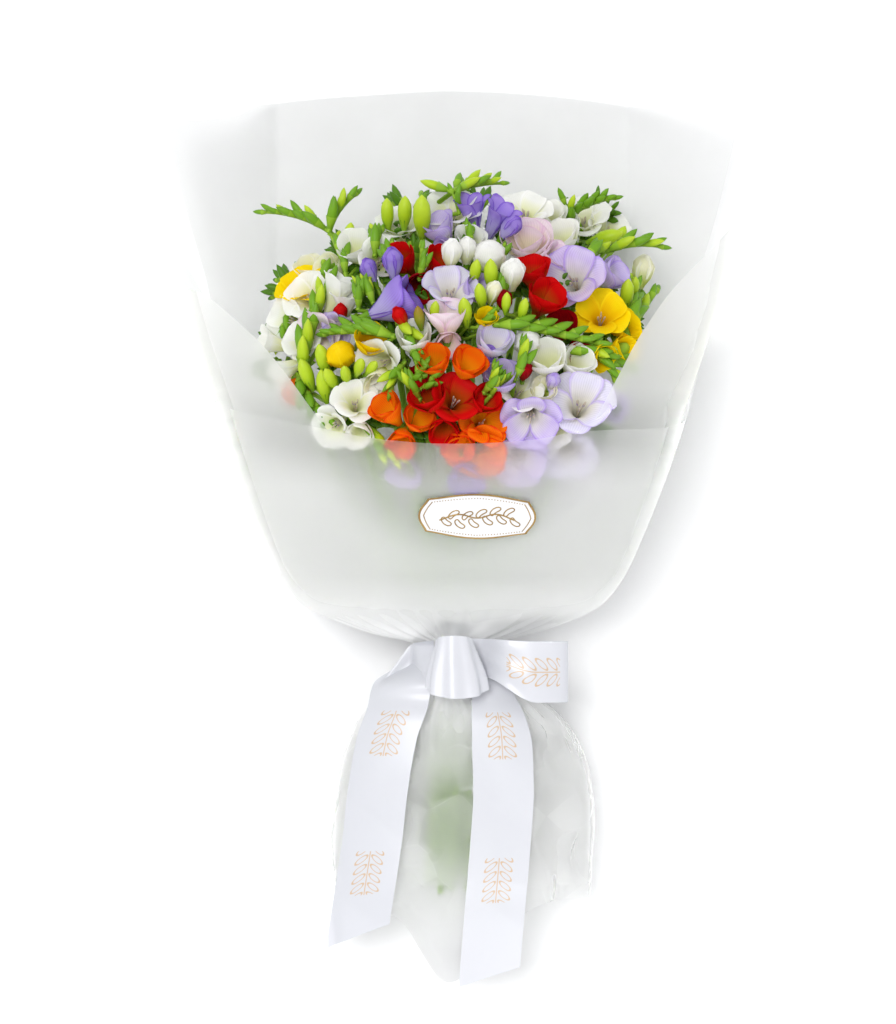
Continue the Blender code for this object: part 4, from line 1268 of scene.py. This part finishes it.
left_place = tail_place(LEFT_TAIL, LEFT_WIDTHS, crest=4.0, slant=9)
right_place = tail_place(RIGHT_TAIL, RIGHT_WIDTHS, crest=2.0, slant=7)
LEFT_SATIN = satin("left_tail_satin", 186.0, (48, 142))
RIGHT_SATIN = satin("right_tail_satin", 202.0, (42, 136))
ribbon("left_tail", "ribbon_left_tail", (16, 90), left_place, LEFT_SATIN, 0.19)
ribbon("right_tail", "ribbon_right_tail", (16, 90), right_place, RIGHT_SATIN, 0.205)
ribbon("left_fold", None, (20, 24), fold_place, PLAIN_SATIN, 0.04, width=0.032)

# %% [markdown]
# ## The loop, the roll and the band
#
# Round the waist the ribbon is drawn into narrow pleats. In front of them a roll hides the knot,
# and a loop sticks out to the right. All three are closed rings of ribbon. They could be circles
# that are extruded and pulled about. As grids whose length goes once round, they keep the ribbon's
# true width and its UVs.

# %% Loop, roll and band
BAND_RADIUS, BAND_HALF_WIDTH, BAND_PLEAT, BAND_PLEATS = 28.2, 8.2, 0.8, 24
LOOP_MIDDLE, LOOP_HALF_LENGTH, LOOP_NECK = 44.5, 32.2, 12.5
ROLL_HEIGHT, ROLL_FLUTES = 82.5, 8


def loop_place(across, along):
    """A flattened loop that comes from under the roll, drawn in there, with creases from it."""
    turn, side = along * 2 * math.pi, across * 2 - 1
    x = LOOP_MIDDLE + LOOP_HALF_LENGTH * np.cos(turn)
    opened, lifted = ease(20, 56, x), ease(15, 38, x)
    width = LOOP_NECK + (RIBBON_WIDTH / 2 - LOOP_NECK) * opened
    z = 72.2 + 11.6 * lifted + (0.5 + 3.4 * lifted + 4.4 * opened) * np.sin(turn)
    y = 0.5 - 9 * opened + side * width
    crease = 1.3 * np.sin(side * 6 + x / 14) * (1 - opened) * lifted + 0.4 * np.sin(side * 3 + x / 6) * lifted
    return x, y, z + crease


def roll_place(across, along):
    """A roll that hangs from the knot like a bell: narrow and open above, wide below."""
    turn = along * 2 * math.pi
    front = np.maximum(np.sin(turn), 0)
    y = 13 - 32 * across - 7 * front * across + 2.5 * front * (1 - across)
    wide = 10.5 + 9.5 * ease(-0.3, 1.0, across)
    flute = 1 + 0.075 * np.sin(turn * ROLL_FLUTES + 0.6) * (0.35 + 0.65 * across)
    x = 1.5 + wide * np.cos(turn) * flute + 2.0 * across
    return x, y, ROLL_HEIGHT + (7.6 + 2.0 * across) * np.sin(turn) * flute


def band_place(across, along):
    """The ribbon round the waist, gathered from its full width into narrow pleats."""
    turn, side = along * 2 * math.pi, across * 2 - 1
    pleats = np.sin(side * BAND_PLEATS + 1.5 * np.sin(turn * 2) + 0.6 * np.sin(turn * 5))
    radius = BAND_RADIUS + BAND_PLEAT * pleats
    return radius * np.cos(turn), side * BAND_HALF_WIDTH, WAIST_HEIGHT + radius * np.sin(turn)


LOOP_SATIN = satin("loop_satin", 150.0, (29,))
ribbon("bow_loop", "ribbon_loop", (16, 72), loop_place, LOOP_SATIN, 0.14)
ribbon("bow_roll", "ribbon_roll", (20, 80), roll_place, PLAIN_SATIN, 0.085)
ribbon("waist_band", "ribbon_band", (72, 96), band_place, PLAIN_SATIN, 0.177)

# %% [markdown]
# ## The label's plates
#
# The label is a white card on a gold-brown backing that shows all round it. Both are plates with
# the same eight-sided outline, whose long sides swell. A cube could be cut to it. A flat curve that
# is filled keeps the corners sharp and the long sides smooth, so each plate is one, turned into a
# mesh and laid on the slope of the film.

# %% Card, backing and their seat
LABEL_X, LABEL_Y, LABEL_TURN = 16, 95, math.radians(-4)
SLOPE_STEP = 12
CORNER_X, CORNER_Y = 0.86, 0.72
OUTLINE = ((-CORNER_X, -CORNER_Y), (0, -1), (CORNER_X, -CORNER_Y), (1, 0),
           (CORNER_X, CORNER_Y), (0, 1), (-CORNER_X, CORNER_Y), (-1, 0))
BACKING_HEIGHT, CARD_HEIGHT, PRINT_HEIGHT = GAP + 0.25, 2 * GAP + 0.75, 2 * GAP + 1.0
PLATE_THICKNESS = 0.5

card = Finish("label_card", {"Roughness": 0.35})
CARD = card.paint(card.ramp(card.noise(200), (0.3, (0.76, 0.76, 0.77)), (0.7, (0.81, 0.81, 0.82))))
golden = Finish("label_gold", {"Roughness": 0.35, "Metallic": 0.3})
GOLDEN = golden.paint(golden.ramp(golden.noise(120), (0.3, (0.26, 0.15, 0.035)), (0.7, (0.40, 0.25, 0.07))))


def label_seat(x, y):
    """The matrix that lays a flat piece on the film's front at (x, y)."""
    rise_y = front_height(x, y + SLOPE_STEP) - front_height(x, y - SLOPE_STEP)
    rise_x = front_height(x + SLOPE_STEP, y) - front_height(x - SLOPE_STEP, y)
    tip = Matrix.Rotation(math.atan2(rise_y, 2 * SLOPE_STEP), 4, "X")
    roll = Matrix.Rotation(-math.atan2(rise_x, 2 * SLOPE_STEP), 4, "Y")
    place = Matrix.Translation(at(x, y, float(front_height(x, y))))
    return place @ (tip @ roll @ Matrix.Rotation(LABEL_TURN, 4, "Z"))


SEAT = label_seat(LABEL_X, LABEL_Y)


def flat_curve(name, points, height, material, line=0.0, closed=True):
    """A curve on the label, filled as a plate or drawn as a thin line of this radius."""
    curve = bpy.data.curves.new(name, "CURVE")
    curve.dimensions = "3D" if line else "2D"
    curve.resolution_u = 6
    if line:
        curve.bevel_depth = line * MM
        curve.bevel_resolution = 1
    else:
        curve.fill_mode = "BOTH"
        curve.extrude = PLATE_THICKNESS / 2 * MM
    spline = curve.splines.new("BEZIER")
    spline.bezier_points.add(len(points) - 1)
    for place, (x, y) in zip(spline.bezier_points, points):
        place.co = (x * MM, y * MM, 0)
        corner = not line and x and y
        place.handle_left_type = place.handle_right_type = "VECTOR" if corner else "AUTO"
    spline.use_cyclic_u = closed
    curve.materials.append(material)
    made = meshed(name, curve)
    made.data.transform(SEAT @ raised(height * MM))
    return made


def plaque(name, half_x, half_y, height, material):
    return flat_curve(name, [(x * half_x, y * half_y) for x, y in OUTLINE], height, material)


backing = plaque("label_back", 37.8, 18.0, BACKING_HEIGHT, GOLDEN)
backing.data.transform(Matrix.Translation((0, -0.5 * MM, 0)))
face = plaque("label_front", 36.5, 16.7, CARD_HEIGHT, CARD)
settle(backing, "label_backing")
settle(face, "label_face")
print("label plates made of", len(face.data.polygons), "faces")

# %% [markdown]
# ## The label's beading and garland
#
# A line of fine beads follows the card's edge, and a garland of leaves lies across its middle. Both
# could be painted. They stand up a little from the card, so they are modelled: the beads are tiny
# balls set along the outline, and the garland is a thin line with leaves to each side by turns.

# %% Beads and leaves
BEADS, BEAD_RADIUS, BEADS_HALF_X, BEADS_HALF_Y = 132, 0.42, 34.4, 14.9
LEAVES, LEAF_STEP = 11, 4.4


def on_outline(part):
    """The point this far along the outline's eight sides, which bulge a little."""
    (x1, y1), (x2, y2) = OUTLINE[int(part)], OUTLINE[(int(part) + 1) % len(OUTLINE)]
    t = part % 1
    long_side = abs(x1 + x2) < 1.5
    grown = 1 + 0.035 * math.sin(math.pi * t) * (1 if long_side else 0.4)
    return (x1 + (x2 - x1) * t) * grown * BEADS_HALF_X, (y1 + (y2 - y1) * t) * grown * BEADS_HALF_Y


beads = []
for k in range(BEADS):
    x, y = on_outline(k / BEADS * len(OUTLINE))
    pick()
    bpy.ops.mesh.primitive_ico_sphere_add(subdivisions=1, radius=BEAD_RADIUS * MM)
    bead = bpy.context.object
    bead.data.transform(SEAT @ Matrix.Translation((x * MM, y * MM, PRINT_HEIGHT * MM)))
    beads.append(bead)
beading = join(beads, "label_beads")
beading.data.materials.append(GOLDEN)

STEM_OF_GARLAND = ((-24, -3.5), (-12, 1.5), (0, -1.0), (12, 2.5), (24, -2.0))
lines = [flat_curve("garland", STEM_OF_GARLAND, PRINT_HEIGHT, GOLDEN, line=0.5, closed=False)]
for k in range(LEAVES):
    x = -22 + LEAF_STEP * k
    y, up = 2.2 * math.sin(x / 7.5) - 0.6, 1 if k % 2 else -1
    leaf = ((x, y), (x + 2.6, y + up * 2.2), (x + 5.6, y + up * 6.0), (x + 0.8, y + up * 5.0))
    lines.append(flat_curve("leaf", leaf, PRINT_HEIGHT, GOLDEN, line=0.4))
garland = join(lines, "label_garland")
settle(beading)
settle(garland)
print("beading and garland made of", len(beading.data.polygons) + len(garland.data.polygons), "faces")

# %% [markdown]
# ## What the film is cut from
#
# The three films are sheets. Their cut sizes could be read off the bent meshes, but pleats that
# are drawn simply measure less than the film that goes into them. Florists' film comes in squares
# of about 58 cm, and the outer two are wrapped from a longer piece.

# %% Cut sizes
print("three film sheets")

# %% [markdown]
# ## The floor, the light and the camera
#
# The bunch lies on a pale floor. One lamp close by would throw hard shadows across the film, so a
# broad sun lights it from above, a round lamp fills the skirt, and a pale world does the rest. The
# camera looks straight down, so the front of the bunch faces it.

# %% Studio
ground = Finish("floor", {"Roughness": 0.9})
FLOOR = ground.paint(ground.ramp(ground.noise(2), (0.3, 0.90), (0.7, 0.93)))
pick()
bpy.ops.mesh.primitive_plane_add(size=8)
floor = bpy.context.object
floor.name = "floor"
floor.data.materials.append(FLOOR)

world = bpy.data.worlds.new("studio")
bpy.context.scene.world = world
world.use_nodes = True
world.node_tree.nodes["Background"].inputs["Color"].default_value = (0.97, 0.98, 1.0, 1)
world.node_tree.nodes["Background"].inputs["Strength"].default_value = 0.8


def soft_light(name, place, towards, kind, size, power):
    """A round lamp, or a sun that is size wide in radians, at a place and turned towards another."""
    light = bpy.data.lights.new(name, kind)
    light.energy = power
    if kind == "SUN":
        light.angle = size
    else:
        light.shape, light.size = "DISK", size
    lamp = bpy.data.objects.new(name, light)
    lamp.location = place
    lamp.rotation_euler = (Vector(towards) - Vector(place)).to_track_quat("-Z", "Y").to_euler()
    bpy.context.collection.objects.link(lamp)
    return lamp


key = soft_light("key", (-0.5, 0.5, 2.1), (0, 0, 0.1), "SUN", 0.5, 1.62)
fill = soft_light("fill", (0.4, -1.7, 1.2), (0, 0, 0.1), "AREA", 1.4, 9)

camera = bpy.data.objects.new("camera", bpy.data.cameras.new("camera"))
bpy.context.collection.objects.link(camera)
camera.location = at(-2.6, 97, 2600)
camera.rotation_euler = (0, 0, 0)
camera.data.lens = 134.0
bpy.context.scene.camera = camera
bpy.context.scene.view_settings.view_transform = "Standard"
print("camera at", camera.location)
